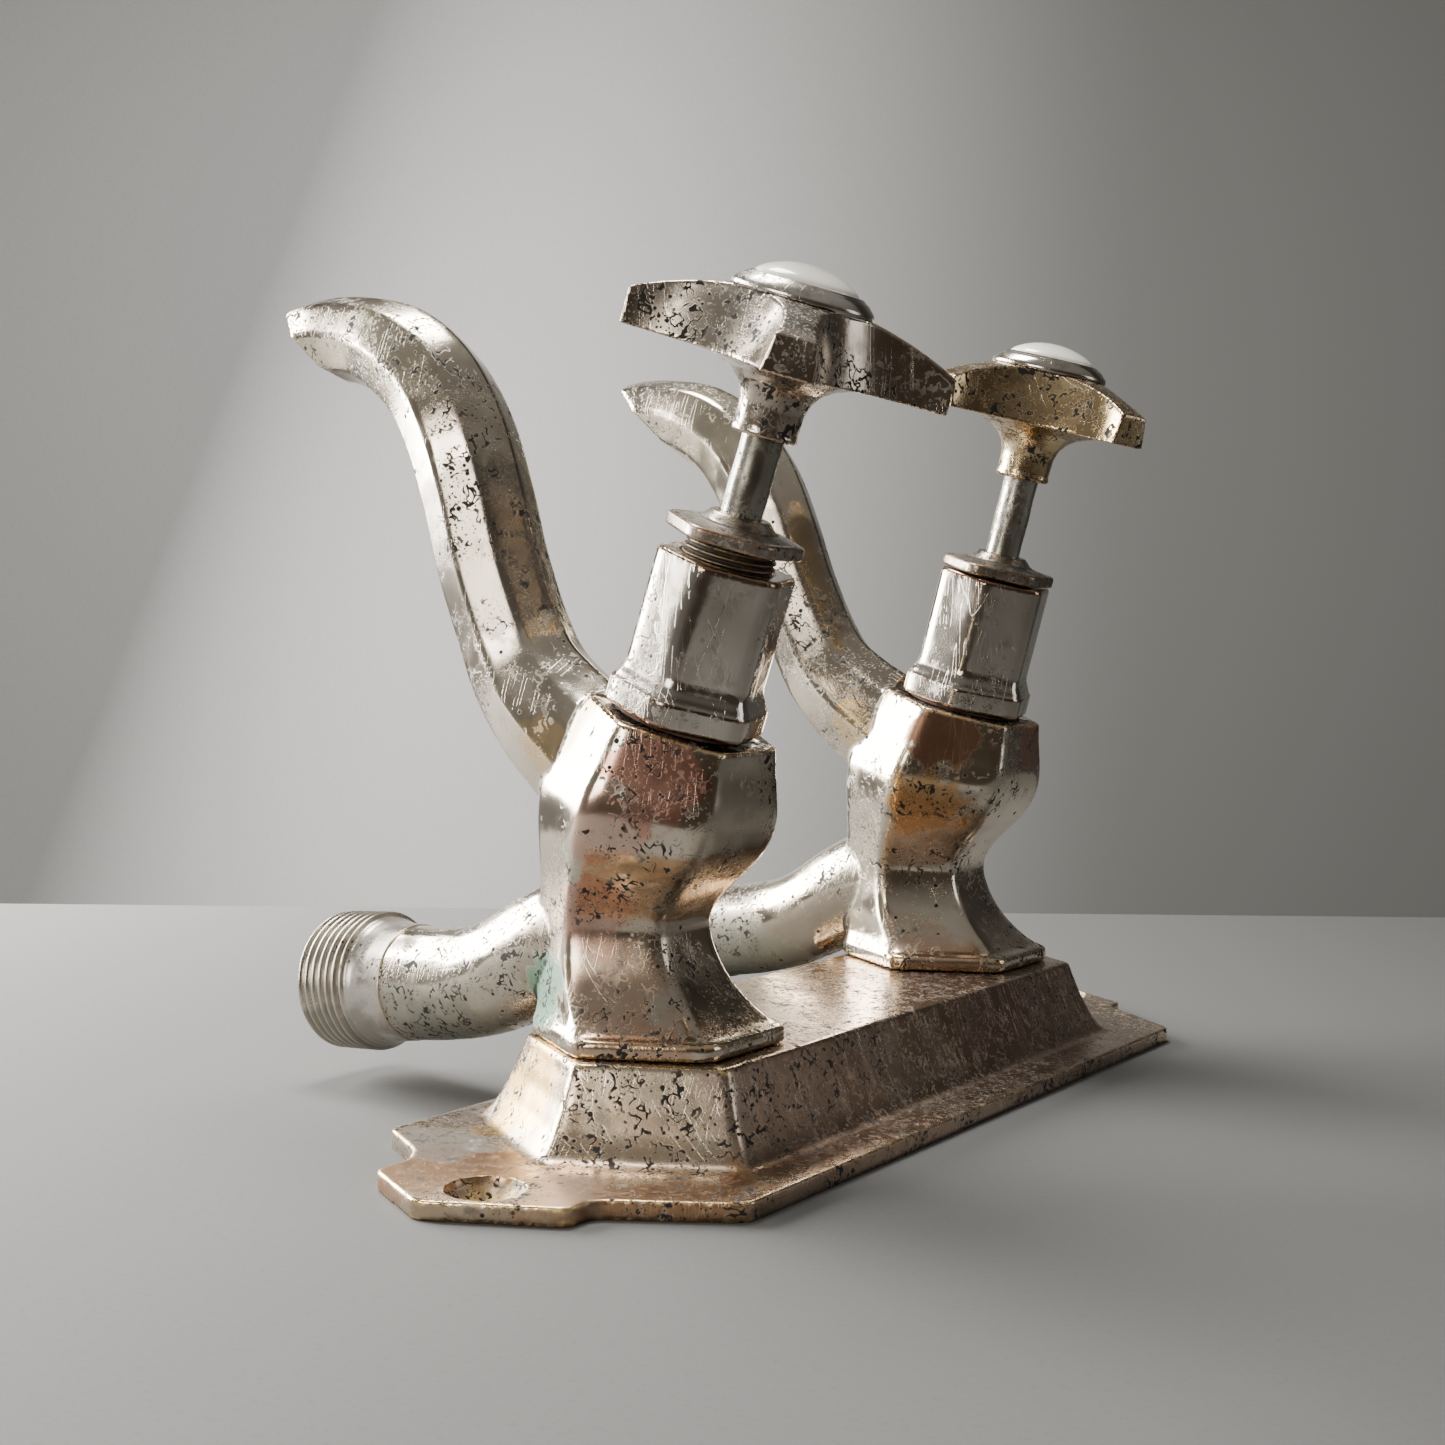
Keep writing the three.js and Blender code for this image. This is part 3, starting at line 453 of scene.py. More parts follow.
def plated(name, seed, light, dark, pits=0.5, wear=0.5, rough=0.15, tarnish=0.4, scratches=0.3,
           worm=1.0, edge=(0.45, 0.95), patches=(), brass=(0.80, 0.58, 0.28), soot_and_shade=0.9, mottle=0.5):
    """Old nickel plate: blotchy tarnish, clusters of black pinholes, brass at the worn edges."""
    s = Shade(name)
    bend = s.bend()
    broad = s.noise(24, 2, seed)
    blotch = s.noise(7.0, 4, seed + 3.1)
    ragged = s.noise(2.4, 4, seed + 5.3)
    fine = s.noise(0.6, 3, seed + 8.9)
    color = s.mix(s.ramp(broad, 0.34, 0.64), dark, light)
    color = s.mix(s.math("MULTIPLY", s.ramp(blotch, 0.55, 0.66), tarnish), color, (0.17, 0.115, 0.075))
    roughness = s.math("ADD", rough, s.math("MULTIPLY", s.ramp(blotch, 0.40, 0.75), 0.13))
    metallic = 1.0
    for centre, radius, tint, amount, patch_rough, patch_metal in patches:
        outline = s.noise(radius * 0.6, 6, seed + radius)
        mask = s.math("MULTIPLY", s.near(centre, radius, outline, 0.22), amount)
        color = s.mix(mask, color, tint)
        roughness = s.blend(mask, roughness, patch_rough)
        metallic = s.blend(mask, metallic, patch_metal)
    cluster = s.ramp(s.noise(17, 3, seed + 11.0), 0.60 - 0.24 * pits, 0.68 - 0.18 * pits)
    grime_and_shade = s.math("MULTIPLY", s.math("MULTIPLY", cluster, s.ramp(ragged, 0.42, 0.62)), mottle)
    color = s.mix(grime_and_shade, color, (0.105, 0.080, 0.058))
    roughness = s.math("ADD", roughness, s.math("MULTIPLY", grime_and_shade, 0.18))
    worn = s.math("ADD", bend, s.math("MULTIPLY", s.math("SUBTRACT", ragged, 0.5), 1.2))
    worn = s.math("MULTIPLY", s.ramp(worn, edge[0], edge[1]), wear)
    color = s.mix(worn, color, brass)
    ridge = s.math("ABSOLUTE", s.math("SUBTRACT", s.noise(2.1, 1.5, seed + 2.2, distort=0.5), 0.5))
    worms = s.math("MULTIPLY", s.ramp(ridge, 0.050, 0.030), s.ramp(s.noise(3.0, 2, seed + 7.7), 0.49, 0.56))
    worms = s.math("MULTIPLY", worms, worm)
    dots = s.math("MULTIPLY", s.ramp(s.cells(1.35, seed), 0.30, 0.18), s.ramp(ragged, 0.47, 0.55))
    specks = s.math("MULTIPLY", s.ramp(s.cells(0.7, seed + 4), 0.30, 0.18), s.ramp(blotch, 0.43, 0.56))
    marks = s.math("MAXIMUM", s.math("MAXIMUM", worms, dots), specks)
    hole = s.math("MULTIPLY", cluster, marks, clamp=True)
    stray = s.math("MULTIPLY", s.ramp(s.cells(4.5, seed + 9), 0.12, 0.08), min(1.0, pits * 1.6))
    chip = s.math("MULTIPLY", s.ramp(s.noise(4.0, 4, seed + 30), 0.70, 0.74), min(1.0, pits * 1.4))
    hole = s.math("MAXIMUM", hole, s.math("MAXIMUM", stray, chip))
    # Concave places are darkened nearly to black: partly soot in the crevices, partly painted shade.
    crease = s.math("ADD", bend, s.math("MULTIPLY", s.math("SUBTRACT", ragged, 0.5), 0.35))
    crevice = s.math("MULTIPLY", s.ramp(crease, -0.20, -0.55), soot_and_shade)
    one_way = s.noise(1.5, 1, seed + 1, (1, 0.06, 0.06), (0.5, 0.35, 0.9))
    line = s.math("ABSOLUTE", s.math("SUBTRACT", one_way, 0.5))
    other_way = s.noise(1.5, 1, seed + 6, (0.06, 1, 0.07), (0.2, -0.4, 0.3))
    other = s.math("ABSOLUTE", s.math("SUBTRACT", other_way, 0.5))
    scratch = s.math("MAXIMUM", s.ramp(line, 0.012, 0.003), s.ramp(other, 0.010, 0.002))
    scratch = s.math("MULTIPLY", s.math("MULTIPLY", scratch, s.ramp(blotch, 0.40, 0.60)), scratches)
    color = s.mix(s.math("MULTIPLY", scratch, 0.6), color, (0.74, 0.68, 0.58))
    color = s.mix(hole, color, (0.012, 0.010, 0.008))
    color = s.mix(crevice, color, (0.022, 0.018, 0.014))
    dirt_and_shade = s.math("MAXIMUM", hole, crevice)
    roughness = s.blend(dirt_and_shade, roughness, 0.8)
    metallic = s.blend(dirt_and_shade, metallic, 0.1)
    waves = s.math("MULTIPLY", s.noise(6.0, 2, seed + 20), 0.45)
    height = s.math("SUBTRACT", waves, s.math("MULTIPLY", hole, 0.22))
    height = s.math("SUBTRACT", height, s.math("MULTIPLY", scratch, 0.30))
    height = s.math("SUBTRACT", height, s.math("MULTIPLY", grime_and_shade, 0.12))
    height = s.math("ADD", height, s.math("MULTIPLY", fine, 0.05))
    return s.output(color, roughness, metallic, s.bump(height, 0.10, 0.8))


def plain(name, seed, color, roughness, metallic=0.0, vary=0.25, depth=0.05, size=3.0):
    """One slightly uneven colour, for the inner pieces."""
    s = Shade(name)
    patchy = s.noise(size, 4, seed)
    fine = s.noise(size * 0.2, 3, seed + 4)
    shade = s.mix(s.ramp(patchy, 0.35, 0.7), tuple(c * (1 - vary) for c in color), color)
    rough = s.math("ADD", roughness, s.math("MULTIPLY", s.math("SUBTRACT", fine, 0.5), 0.2))
    return s.output(shade, rough, metallic, s.bump(s.math("ADD", patchy, fine), depth, 0.6))


def porcelain():
    s = Shade("porcelain_glaze")
    cloud = s.noise(5, 3, 3)
    color = s.mix(s.ramp(cloud, 0.3, 0.75), (0.90, 0.86, 0.76), (0.95, 0.93, 0.86))
    speck = s.ramp(s.cells(3.1, 2.0), 0.06, 0.03)
    color = s.mix(s.math("MULTIPLY", speck, 0.7), color, (0.25, 0.2, 0.14))
    material = s.output(color, s.math("ADD", 0.12, s.math("MULTIPLY", cloud, 0.12)), 0.0,
                        s.bump(cloud, 0.03, 0.5))
    s.surface.inputs["Coat Weight"].default_value = 0.6
    s.surface.inputs["Coat Roughness"].default_value = 0.05
    return material


def tap_point(tap, x, y, z):
    """A point of the tap frame as a point of the row frame, in mm."""
    return (x + FOOT_X + tap["shift"] + SHIFT, y + tap["side"] * SPACING / 2, z + PLATE_TOP)


def casting_material(name, tap):
    """Patches are rows of centre, radius, tint, amount, roughness and metallic: mostly stains, with a
    painted reflection on the spout and painted shade under the tail.
    """
    nickel, dull_nickel = (0.72, 0.645, 0.53), (0.52, 0.445, 0.35)
    braze = (0.78, 0.55, 0.24)
    patches = [
        (tap_point(tap, -17, -10, 50), 5, braze, 0.55, 0.20, 1.0),
        # Painted reflection: a dark band on the front of the spout's rise.
        (tap_point(tap, -37, -9, 82), 17, (0.22, 0.19, 0.155), 0.85, 0.24, 1.0),
        (tap_point(tap, -60, -8, 118), 14, (0.66, 0.58, 0.42), 0.5, 0.22, 1.0),
        (tap_point(tap, 9, -20, 0), 11, (0.60, 0.33, 0.20), 0.5, 0.24, 1.0),
        # Painted shade: these two darken the underside of the tail.
        (tap_point(tap, -56, -2, -9), 16, (0.26, 0.26, 0.22), 0.7, 0.42, 0.8),
        (tap_point(tap, -42, -6, -6), 11, (0.26, 0.27, 0.22), 0.7, 0.45, 0.8),
        (tap_point(tap, -12, -17, 22), 9, (0.40, 0.33, 0.26), 0.5, 0.3, 1.0),
    ]
    if name == "near":
        patches += [
            (tap_point(tap, 12, -17, 47), 9, (0.46, 0.21, 0.15), 0.8, 0.24, 1.0),
            (tap_point(tap, 3, -19, 37), 7, (0.62, 0.34, 0.26), 0.55, 0.22, 1.0),
            (tap_point(tap, -3, -15, 22), 7, (0.42, 0.20, 0.15), 0.6, 0.24, 0.9),
            (tap_point(tap, -15, -14, 8), 7, (0.16, 0.30, 0.21), 1.0, 0.75, 0.0),
            (tap_point(tap, 2, -15, 12), 8, (0.50, 0.32, 0.20), 0.5, 0.26, 1.0),
        ]
        seed = 1.3
    else:
        patches += [
            (tap_point(tap, 9, -18, 49), 8, (0.16, 0.075, 0.04), 0.95, 0.36, 0.7),
            (tap_point(tap, 6, -19, 33), 9, (0.62, 0.36, 0.13), 0.75, 0.24, 1.0),
            (tap_point(tap, 16, 4, 47), 6, (0.18, 0.08, 0.05), 0.85, 0.40, 0.7),
        ]
        seed = 4.6
    return plated("casting_" + name, seed, nickel, dull_nickel, pits=0.75, wear=0.6, rough=0.12,
                  tarnish=0.22, patches=patches, mottle=0.16)


# ---------------------------------------------------------------- plate


def eased_outline(corners, radius, steps=8):
    """The outline with each corner rounded off, starting radius mm before it."""
    corners = np.array(corners, float)
    points = []
    for i, corner in enumerate(corners):
        before = corners[i - 1] - corner
        after = corners[(i + 1) % len(corners)] - corner
        a = corner + before / np.linalg.norm(before) * radius
        b = corner + after / np.linalg.norm(after) * radius
        for t in np.linspace(0, 1, steps):
            points.append((1 - t) ** 2 * a + 2 * t * (1 - t) * corner + t**2 * b)
    return np.array(points)


def prism(outline, levels):
    return skin([flat_ring(outline, z) for z in levels])


def box_ring(z, half):
    """The raised box's long hexagon at one height, from half its width."""
    grow = half - 21.3
    apex = 75.2 + grow / math.cos(math.radians(30))
    corner = apex - half * math.tan(math.radians(30))
    outline = [(0, -apex), (half, -corner), (half, corner), (0, apex), (-half, corner), (-half, -corner)]
    outline = eased_outline(outline, 0.9, 5) + np.array([BOX_X, 0])
    return flat_ring(outline, z)


def make_plate():
    ends = FLANGE_END + [(x, -y) for x, y in reversed(FLANGE_END)]
    outline = eased_outline(ends, 1.8, 6)
    shift = np.array([SHIFT, 0, 0])
    flange_v, flange_f = prism(outline, [0, 3.2])
    box_v, box_f = skin([box_ring(z, half) for z, half in BOX_SIDES])
    plate = make_object("plate_casting", flange_v + shift, flange_f)
    combine(plate, "UNION", make_object("box", box_v + shift, box_f))
    remesh(plate, 0.62, 2)
    hollow_v, hollow_f = skin([box_ring(z, half) for z, half in
                               ((-1, 24.0), (2.0, 23.4), (6.0, 20.6), (14.4, 18.2))])
    tools = [make_object("hollow", hollow_v + shift, hollow_f)]
    sink_v, sink_f = lathe([(AXIS, -1), (3.1, -1), (3.1, 0.4), (6.2, 3.0), (6.2, 5), (AXIS, 5)], 48)
    hole_v, hole_f = rod(SPIGOT_HOLE, 10, 20)
    for tap in TAPS.values():
        screw = np.array([HOLE[0] + SHIFT, tap["side"] * HOLE[1], 0])
        foot = np.array([FOOT_X + tap["shift"] + SHIFT, tap["side"] * SPACING / 2, 0])
        tools.append(make_object("sink", sink_v + screw, sink_f))
        tools.append(make_object("spigot_hole", hole_v + foot, hole_f))
    combine(plate, "DIFFERENCE", *tools)
    wear_map(plate, 0.10)
    flange, dark = (0.46, 0.25, 0.12), (0.11, 0.10, 0.095)
    patches = [
        ((SHIFT - 8, -93, 3), 12, flange, 0.8, 0.32, 1.0),
        ((SHIFT + 22, -84, 3), 17, flange, 0.7, 0.32, 1.0),
        ((SHIFT + 34, -40, 3), 22, (0.42, 0.25, 0.14), 0.6, 0.32, 1.0),
        ((SHIFT - 20, -84, 3), 10, dark, 0.8, 0.50, 0.7),
        ((SHIFT + 12, -92, 3), 8, dark, 0.5, 0.50, 0.7),
        ((SHIFT + 4, -97.6, 1.5), 6.2, (0.16, 0.14, 0.12), 0.9, 0.5, 0.7),
        ((SHIFT + 4, 97.6, 1.5), 6.2, (0.16, 0.14, 0.12), 0.9, 0.5, 0.7),
        ((SHIFT - 14, -73, 10), 10, (0.80, 0.53, 0.20), 0.95, 0.24, 1.0),
        ((SHIFT - 12, -79, 5), 5, (0.70, 0.66, 0.60), 0.7, 0.24, 1.0),
        ((SHIFT + 16, -69, 10), 14, (0.60, 0.51, 0.38), 0.6, 0.24, 1.0),
        ((SHIFT - 4, -8, 18), 30, (0.44, 0.335, 0.205), 0.9, 0.17, 1.0),
        ((SHIFT + 10, 20, 18), 24, (0.34, 0.235, 0.15), 0.8, 0.20, 1.0),
        ((SHIFT + 28, -30, 8), 34, (0.42, 0.31, 0.25), 0.6, 0.24, 1.0),
        ((SHIFT + 27, 40, 8), 40, (0.38, 0.27, 0.22), 0.65, 0.24, 1.0),
    ]
    material = plated("plate_plating", 7.2, (0.62, 0.49, 0.345), (0.43, 0.32, 0.225),
                      pits=1.0, wear=0.9, rough=0.18, tarnish=0.40, edge=(0.55, 1.1),
                      patches=patches, scratches=0.5, mottle=0.30)
    plate.data.materials.clear()
    plate.data.materials.append(material)
    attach(plate, "fixed")
    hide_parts("backplate")


# ---------------------------------------------------------------- castings


def mouth_cutter(tap):
    """A block whose top face lies in the plane of the spout's mouth."""
    rise, reach = MOUTH_TIP[1] - MOUTH_HEEL[1], MOUTH_TIP[0] - MOUTH_HEEL[0]
    corners = np.array([(-40, -20), (40, -20), (40, 20), (-40, 20)])
    verts, faces = prism(corners, (-40, 0))
    verts = turn_y(verts, -math.degrees(math.atan(rise / reach)))
    middle_x = (MOUTH_TIP[0] + MOUTH_HEEL[0]) / 2 + tap["short"]
    middle_z = (MOUTH_TIP[1] + MOUTH_HEEL[1]) / 2
    verts += np.array([middle_x, 0, middle_z])
    return make_object("mouth", spout_to_row(verts, tap), faces)


def make_casting(name, tap):
    """One fused casting: foot, vase, spout and the tail's neck, with the waterway cut through it."""
    hexagon = polygon(6, 156, 0.03)
    octagon = polygon(8, 128, 0.015)
    circle = polygon(64, 96, 0.0)

    def section(x, z, corner, share):
        tilt = math.radians(share * tap["lean"])
        return np.stack([x + share * tap["head"] + hexagon[:, 0] * corner * math.cos(tilt),
                         hexagon[:, 1] * corner, z - hexagon[:, 0] * corner * math.sin(tilt)], 1)

    rows = spline([(z, x, r, s) for x, z, r, s in VASE], 90)
    rings = [section(*row) for row in FOOT] + [section(x, z, r, s) for z, x, r, s in rows]
    vase = skin(rings)
    spigot = lathe([(AXIS, -12), (SPIGOT - 0.8, -12), (SPIGOT, -11.2), (SPIGOT, 1), (AXIS, 1)], 48)
    spout_v, spout_f = swept(SPOUT, octagon, 120)
    tail_v, tail_f = swept(TAIL, circle, 60)
    casting = make_object("casting_" + name, from_tap(vase[0], tap), vase[1])
    combine(
        casting, "UNION",
        make_object("spigot", from_tap(spigot[0], tap), spigot[1]),
        make_object("spout", spout_to_row(spout_v, tap), spout_f),
        make_object("tail", tail_to_row(tail_v, tap), tail_f),
    )
    combine(casting, "DIFFERENCE", mouth_cutter(tap))
    remesh(casting, 0.50, 3)
    spout_line = [(x, z, SPOUT_BORE) for x, z, r in SPOUT]
    tail_line = [(x, z, TAIL_BORE) for x, z, r in TAIL] + [TAIL_BORE_END]
    passages = [
        ("spot_face", head_to_row, rod(SPOT_FACE, -0.02, 9, 72)),
        ("shank_bore", head_to_row, rod(SHANK_BORE, -9.6, 4, 72)),
        ("chamber", head_to_row, rod(CHAMBER, -23.2, -9.0, 72)),
        ("seat_hole", head_to_row, rod(SEAT_HOLE, -31.2, -22.2)),
        ("outlet", spout_to_row, swept(OUTLET, circle, 24)),
        ("spout_bore", spout_to_row, swept(spout_line, circle, 60, 0.17, 1.0)),
        ("inlet", tail_to_row, swept(INLET, circle, 24)),
        ("tail_bore", tail_to_row, swept(tail_line, circle, 30, 0.36)),
    ]
    tools = [make_object(label, to_row(v, tap), f) for label, to_row, (v, f) in passages]
    combine(casting, "DIFFERENCE", *tools)
    wear_map(casting, 0.08)
    casting.data.materials.clear()
    casting.data.materials.append(casting_material(name, tap))
    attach(casting, "fixed")
    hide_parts("body_" + name, "spout_" + name)


def make_tail_end(name, tap):
    """The barrel and its helical thread, about an axis that starts where the neck stops."""
    samples = 120
    angle = around(samples)
    end = BARREL + THREAD_PITCH * THREAD_TURNS
    root = THREAD_R - THREAD_DEPTH
    rings = []
    barrel_levels = np.linspace(-1.5, BARREL - 0.4, 16)
    thread_levels = np.arange(BARREL - 0.2, end - 0.25, 0.15)
    for z in np.concatenate([barrel_levels, thread_levels]):
        if z < BARREL - 0.5:
            rise = np.interp(z, [-1.5, 0.0, BARREL * 0.5, BARREL - 0.9, BARREL - 0.5],
                             [10.85, 10.95, 11.25, 11.8, root])
            radius = np.full(samples, rise)
        else:
            wave = np.mod((z - BARREL) / THREAD_PITCH - angle / (2 * math.pi), 1.0)
            crest = np.clip(1.25 - np.abs(wave - 0.5) * 2.9, 0, 1) ** 0.8
            fade = np.clip((z - BARREL + 0.2) / 1.2, 0, 1) * np.clip((end - z) / 1.2, 0.0, 1)
            radius = root + (THREAD_DEPTH - 0.05) * crest * fade
        rings.append(round_ring(radius, z, angle))
    inside = [(root - 0.5, end), (8.6, end), (8.4, end - 0.4), (8.4, BARREL - 2),
              (6.9, BARREL - 2.2), (6.9, -1.5)]
    rings += [round_ring(r, z, angle) for r, z in inside]
    verts, faces = skin(rings, wrap=True)
    verts = turn_y(verts, -(90 + TAIL_SLOPE)) + np.array([TAIL[-1][0], 0, TAIL[-1][1]])
    piece = make_object("tail_thread_" + name, tail_to_row(verts, tap), faces)
    wear_map(piece, 0.0, 1)
    # Painted shade: a dark patch on the underside of the thread's end.
    underside_shade = (tap_point(tap, -68, -4, -13), 14, (0.22, 0.21, 0.18), 0.7, 0.5, 0.7)
    material = plated("thread_" + name, 12.4 + tap["side"], (0.60, 0.57, 0.51), (0.44, 0.41, 0.36),
                      pits=0.3, wear=0.35, rough=0.27, tarnish=0.3, worm=0.3, soot_and_shade=0.95,
                      patches=[underside_shade])
    piece.data.materials.append(material)
    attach(piece, "fixed")
    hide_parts("inlet_tail_" + name)


# ---------------------------------------------------------------- headwork


def hex_stack(levels, samples=144, turn=17.0, worn=0.05):
    """A hexagonal solid from (height, corner radius) rows."""
    outline = polygon(6, samples, worn)
    verts, faces = skin([flat_ring(outline * r, z) for z, r in levels])
    return turn_z(verts, turn), faces


def finish_head_piece(piece, name, body, node, material, soften=3, wave=0.05):
    """Wear, material, the body that the piece rides on, and the CAD node that it replaces."""
    wear_map(piece, wave, soften)
    piece.data.materials.clear()
    piece.data.materials.append(material)
    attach(piece, body)
    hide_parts(node + "_" + name)


def head_object(label, shape, tap):
    verts, faces = shape
    return make_object(label, head_to_row(verts, tap), faces)


def make_bonnet(name, tap, material):
    levels = [(0.7, 14.2), (1.0, 14.5), (5.0, 14.5), (5.3, 14.1), (6.2, 13.7), (7.4, 12.95),
              (8.6, 12.6), (27.4, 12.6), (28.0, 12.1)]
    bonnet = head_object("bonnet_hex_" + name, hex_stack(levels), tap)
    combine(bonnet, "UNION", head_object("shank", rod(10, -9.5, 1.7, 64), tap))
    remesh(bonnet, 0.34, 1)
    combine(bonnet, "DIFFERENCE",
            head_object("screw_bore", rod(6.3, -12, 14), tap),
            head_object("stem_bore", rod(3.8, 10, 20), tap),
            head_object("packing_box", rod(8.2, 17, 30, 64), tap))
    finish_head_piece(bonnet, name, "fixed", "bonnet", material)


def make_gland(name, tap, material, stem_material):
    """The gland nut, and the threaded sleeve below it that shows where the nut stands off."""
    under = 28.0 + tap["lift"]
    top = under + 2.4
    plate = hex_stack([(under, 11.9), (under + 0.3, 12.35), (top - 0.35, 12.35), (top, 11.8)], turn=1.0)
    nut = head_object("gland_hex_" + name, plate, tap)
    cone = lathe([(AXIS, under + 0.6), (9.6, under + 0.6), (9.3, top + 0.05), (6.6, top + 0.7),
                  (5.0, top + 2.3), (AXIS, top + 2.4)], 72)
    combine(nut, "UNION", head_object("cone", cone, tap))
    remesh(nut, 0.26, 1)
    stem_hole = 3.72
    combine(nut, "DIFFERENCE", head_object("stem_hole", rod(stem_hole, under - 8, top + 5), tap))
    finish_head_piece(nut, name, "fixed", "gland_nut", material)
    angle = around(96)
    rings = []
    for z in np.arange(under - 6.6, under + 0.3, 0.11):
        wave = np.mod((z - under) / 1.1 - angle / (2 * math.pi), 1.0)
        radius = 7.15 + 0.7 * np.clip(1.2 - np.abs(wave - 0.5) * 2.6, 0, 1)
        rings.append(round_ring(radius, z, angle))
    rings += [round_ring(stem_hole, z, angle) for z in (under + 0.3, under - 6.6)]
    stem = head_object("gland_thread_" + name, skin(rings, wrap=True), tap)
    wear_map(stem, 0.0, 1)
    stem.data.materials.append(stem_material)
    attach(stem, "fixed")
    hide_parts("gland_nut_" + name)


def quarter_turns(x, y, count):
    for _ in range(count):
        x, y = -y, x
    return x, y


def cross(length, tip, valley, z, steps=40):
    """Four arms that reach length and end 2 * tip wide, joined by arcs through (valley, valley)."""
    centre = (length**2 + tip**2 - 2 * valley**2) / (2 * (length + tip) - 4 * valley)
    radius = math.sqrt(2) * (centre - valley)
    start = math.atan2(tip - centre, length - centre)
    end = math.atan2(length - centre, tip - centre)
    sweep = (end - start) - (2 * math.pi if end > start else 0)
    points = []
    for arm in range(4):
        for t in np.linspace(0, 1, steps):
            a = start + sweep * t
            x, y = quarter_turns(centre + radius * math.cos(a), centre + radius * math.sin(a), arm)
            points.append((x, y, z))
        for share in (-0.5, 0.0, 0.5):
            x, y = quarter_turns(length, -tip * share, arm + 1)
            points.append((x, y, z))
    return np.array(points)


def make_handle(name, tap, material):
    low = cross(26.95, 4.2, 10.6, 60.3)
    high = cross(26.95, 2.4, 7.7, 72.3)
    rings = [low + (high - low) * t for t in np.linspace(0, 1, 5)]
    arms_v, arms_f = skin(rings)
    reach = np.linspace(29, AXIS, 24)
    dome_r = 64
    dome = [(AXIS, 59), (29, 59)]
    dome += [(r, 72.3 - (dome_r - math.sqrt(dome_r**2 - r**2))) for r in reach]
    collar = lathe([(AXIS, 49), (5.2, 49), (5.55, 49.3), (5.6, 49.9), (5.35, 50.3), (5.5, 54),
                    (6.1, 56), (7.3, 57.6), (9.2, 58.9), (11.4, 59.7), (13.6, 60.5), (AXIS, 60.5)])
    aim = tap["turn"] - 90
    handle = head_object("handle_arms_" + name, (turn_z(arms_v, aim), arms_f), tap)
    combine(handle, "INTERSECT", head_object("dome", lathe(dome, 128), tap))
    combine(handle, "UNION", head_object("collar", collar, tap))
    remesh(handle, 0.32, 2)
    combine(handle, "DIFFERENCE",
            head_object("spindle_hole", rod(3.7, 48, 51.75), tap),
            head_object("square_hole", rod(3.05, 50, 72), tap),
            head_object("screw_recess", rod(4.5, 67, 73), tap),
            head_object("ring_recess", rod(12.3, 70.9, 76, 72), tap))
    finish_head_piece(handle, name, "turn_" + name, "handle", material, wave=0.06)


def make_spindle(name, tap, material):
    socket = [(AXIS, -3.1), (2.1, -3.1), (2.1, -11.2)]
    screw = [(5.3, -11.2), (6.1, -10.4), (6.1, 11.8), (5.3, 12.6), (3.55, 12.6)]
    stem = [(3.55 - 0.05 * math.sin(k), 13 + k * 1.6) for k in range(24)]
    neck = [(3.5, 51.6), (2.9, 51.6), (2.9, 66.4), (1.7, 66.4), (1.7, 57.9), (AXIS, 57.9)]
    spindle = head_object("spindle_rod_" + name, lathe(socket + screw + stem + neck, 64), tap)
    finish_head_piece(spindle, name, "turn_" + name, "spindle", material, wave=0.0, soften=1)


def make_index(name, tap, metal, glaze):
    """The stepped metal ring on the handle, and the domed porcelain disc in it."""
    steps = [(6.2, 71.05), (11.6, 71.05), (11.8, 71.25), (11.8, 71.8), (11.6, 72.2), (11.0, 72.8),
             (10.5, 73.3), (10.1, 73.5), (9.8, 73.7), (9.4, 74.0), (9.1, 74.05), (8.85, 73.9),
             (8.8, 73.45), (6.2, 73.45)]
    ring = head_object("index_bezel_" + name, lathe(steps, 144), tap)
    finish_head_piece(ring, name, "turn_" + name, "index_ring", metal, wave=0.0, soften=1)
    rim = 8.6
    profile = [(AXIS, 73.55), (rim - 0.2, 73.55), (rim, 73.75)]
    profile += [(r, 74.15 + 2.85 * (1 - (r / rim) ** 2) ** 0.75) for r in np.linspace(rim, AXIS, 22)]
    disc = head_object("index_button_" + name, lathe(profile), tap)
    finish_head_piece(disc, name, "turn_" + name, "index_disc", glaze, wave=0.0)


HANDLE_TONES = {
    "near": ((0.66, 0.585, 0.49), (0.44, 0.375, 0.305)),
    "far": ((0.76, 0.60, 0.37), (0.50, 0.36, 0.19)),
}

make_plate()
glaze = porcelain()
bezel = plated("bezel", 3.3, (0.68, 0.64, 0.58), (0.46, 0.42, 0.36), pits=0.3, wear=0.0,
               rough=0.15, tarnish=0.5, worm=0.3, edge=(2.0, 3.0))
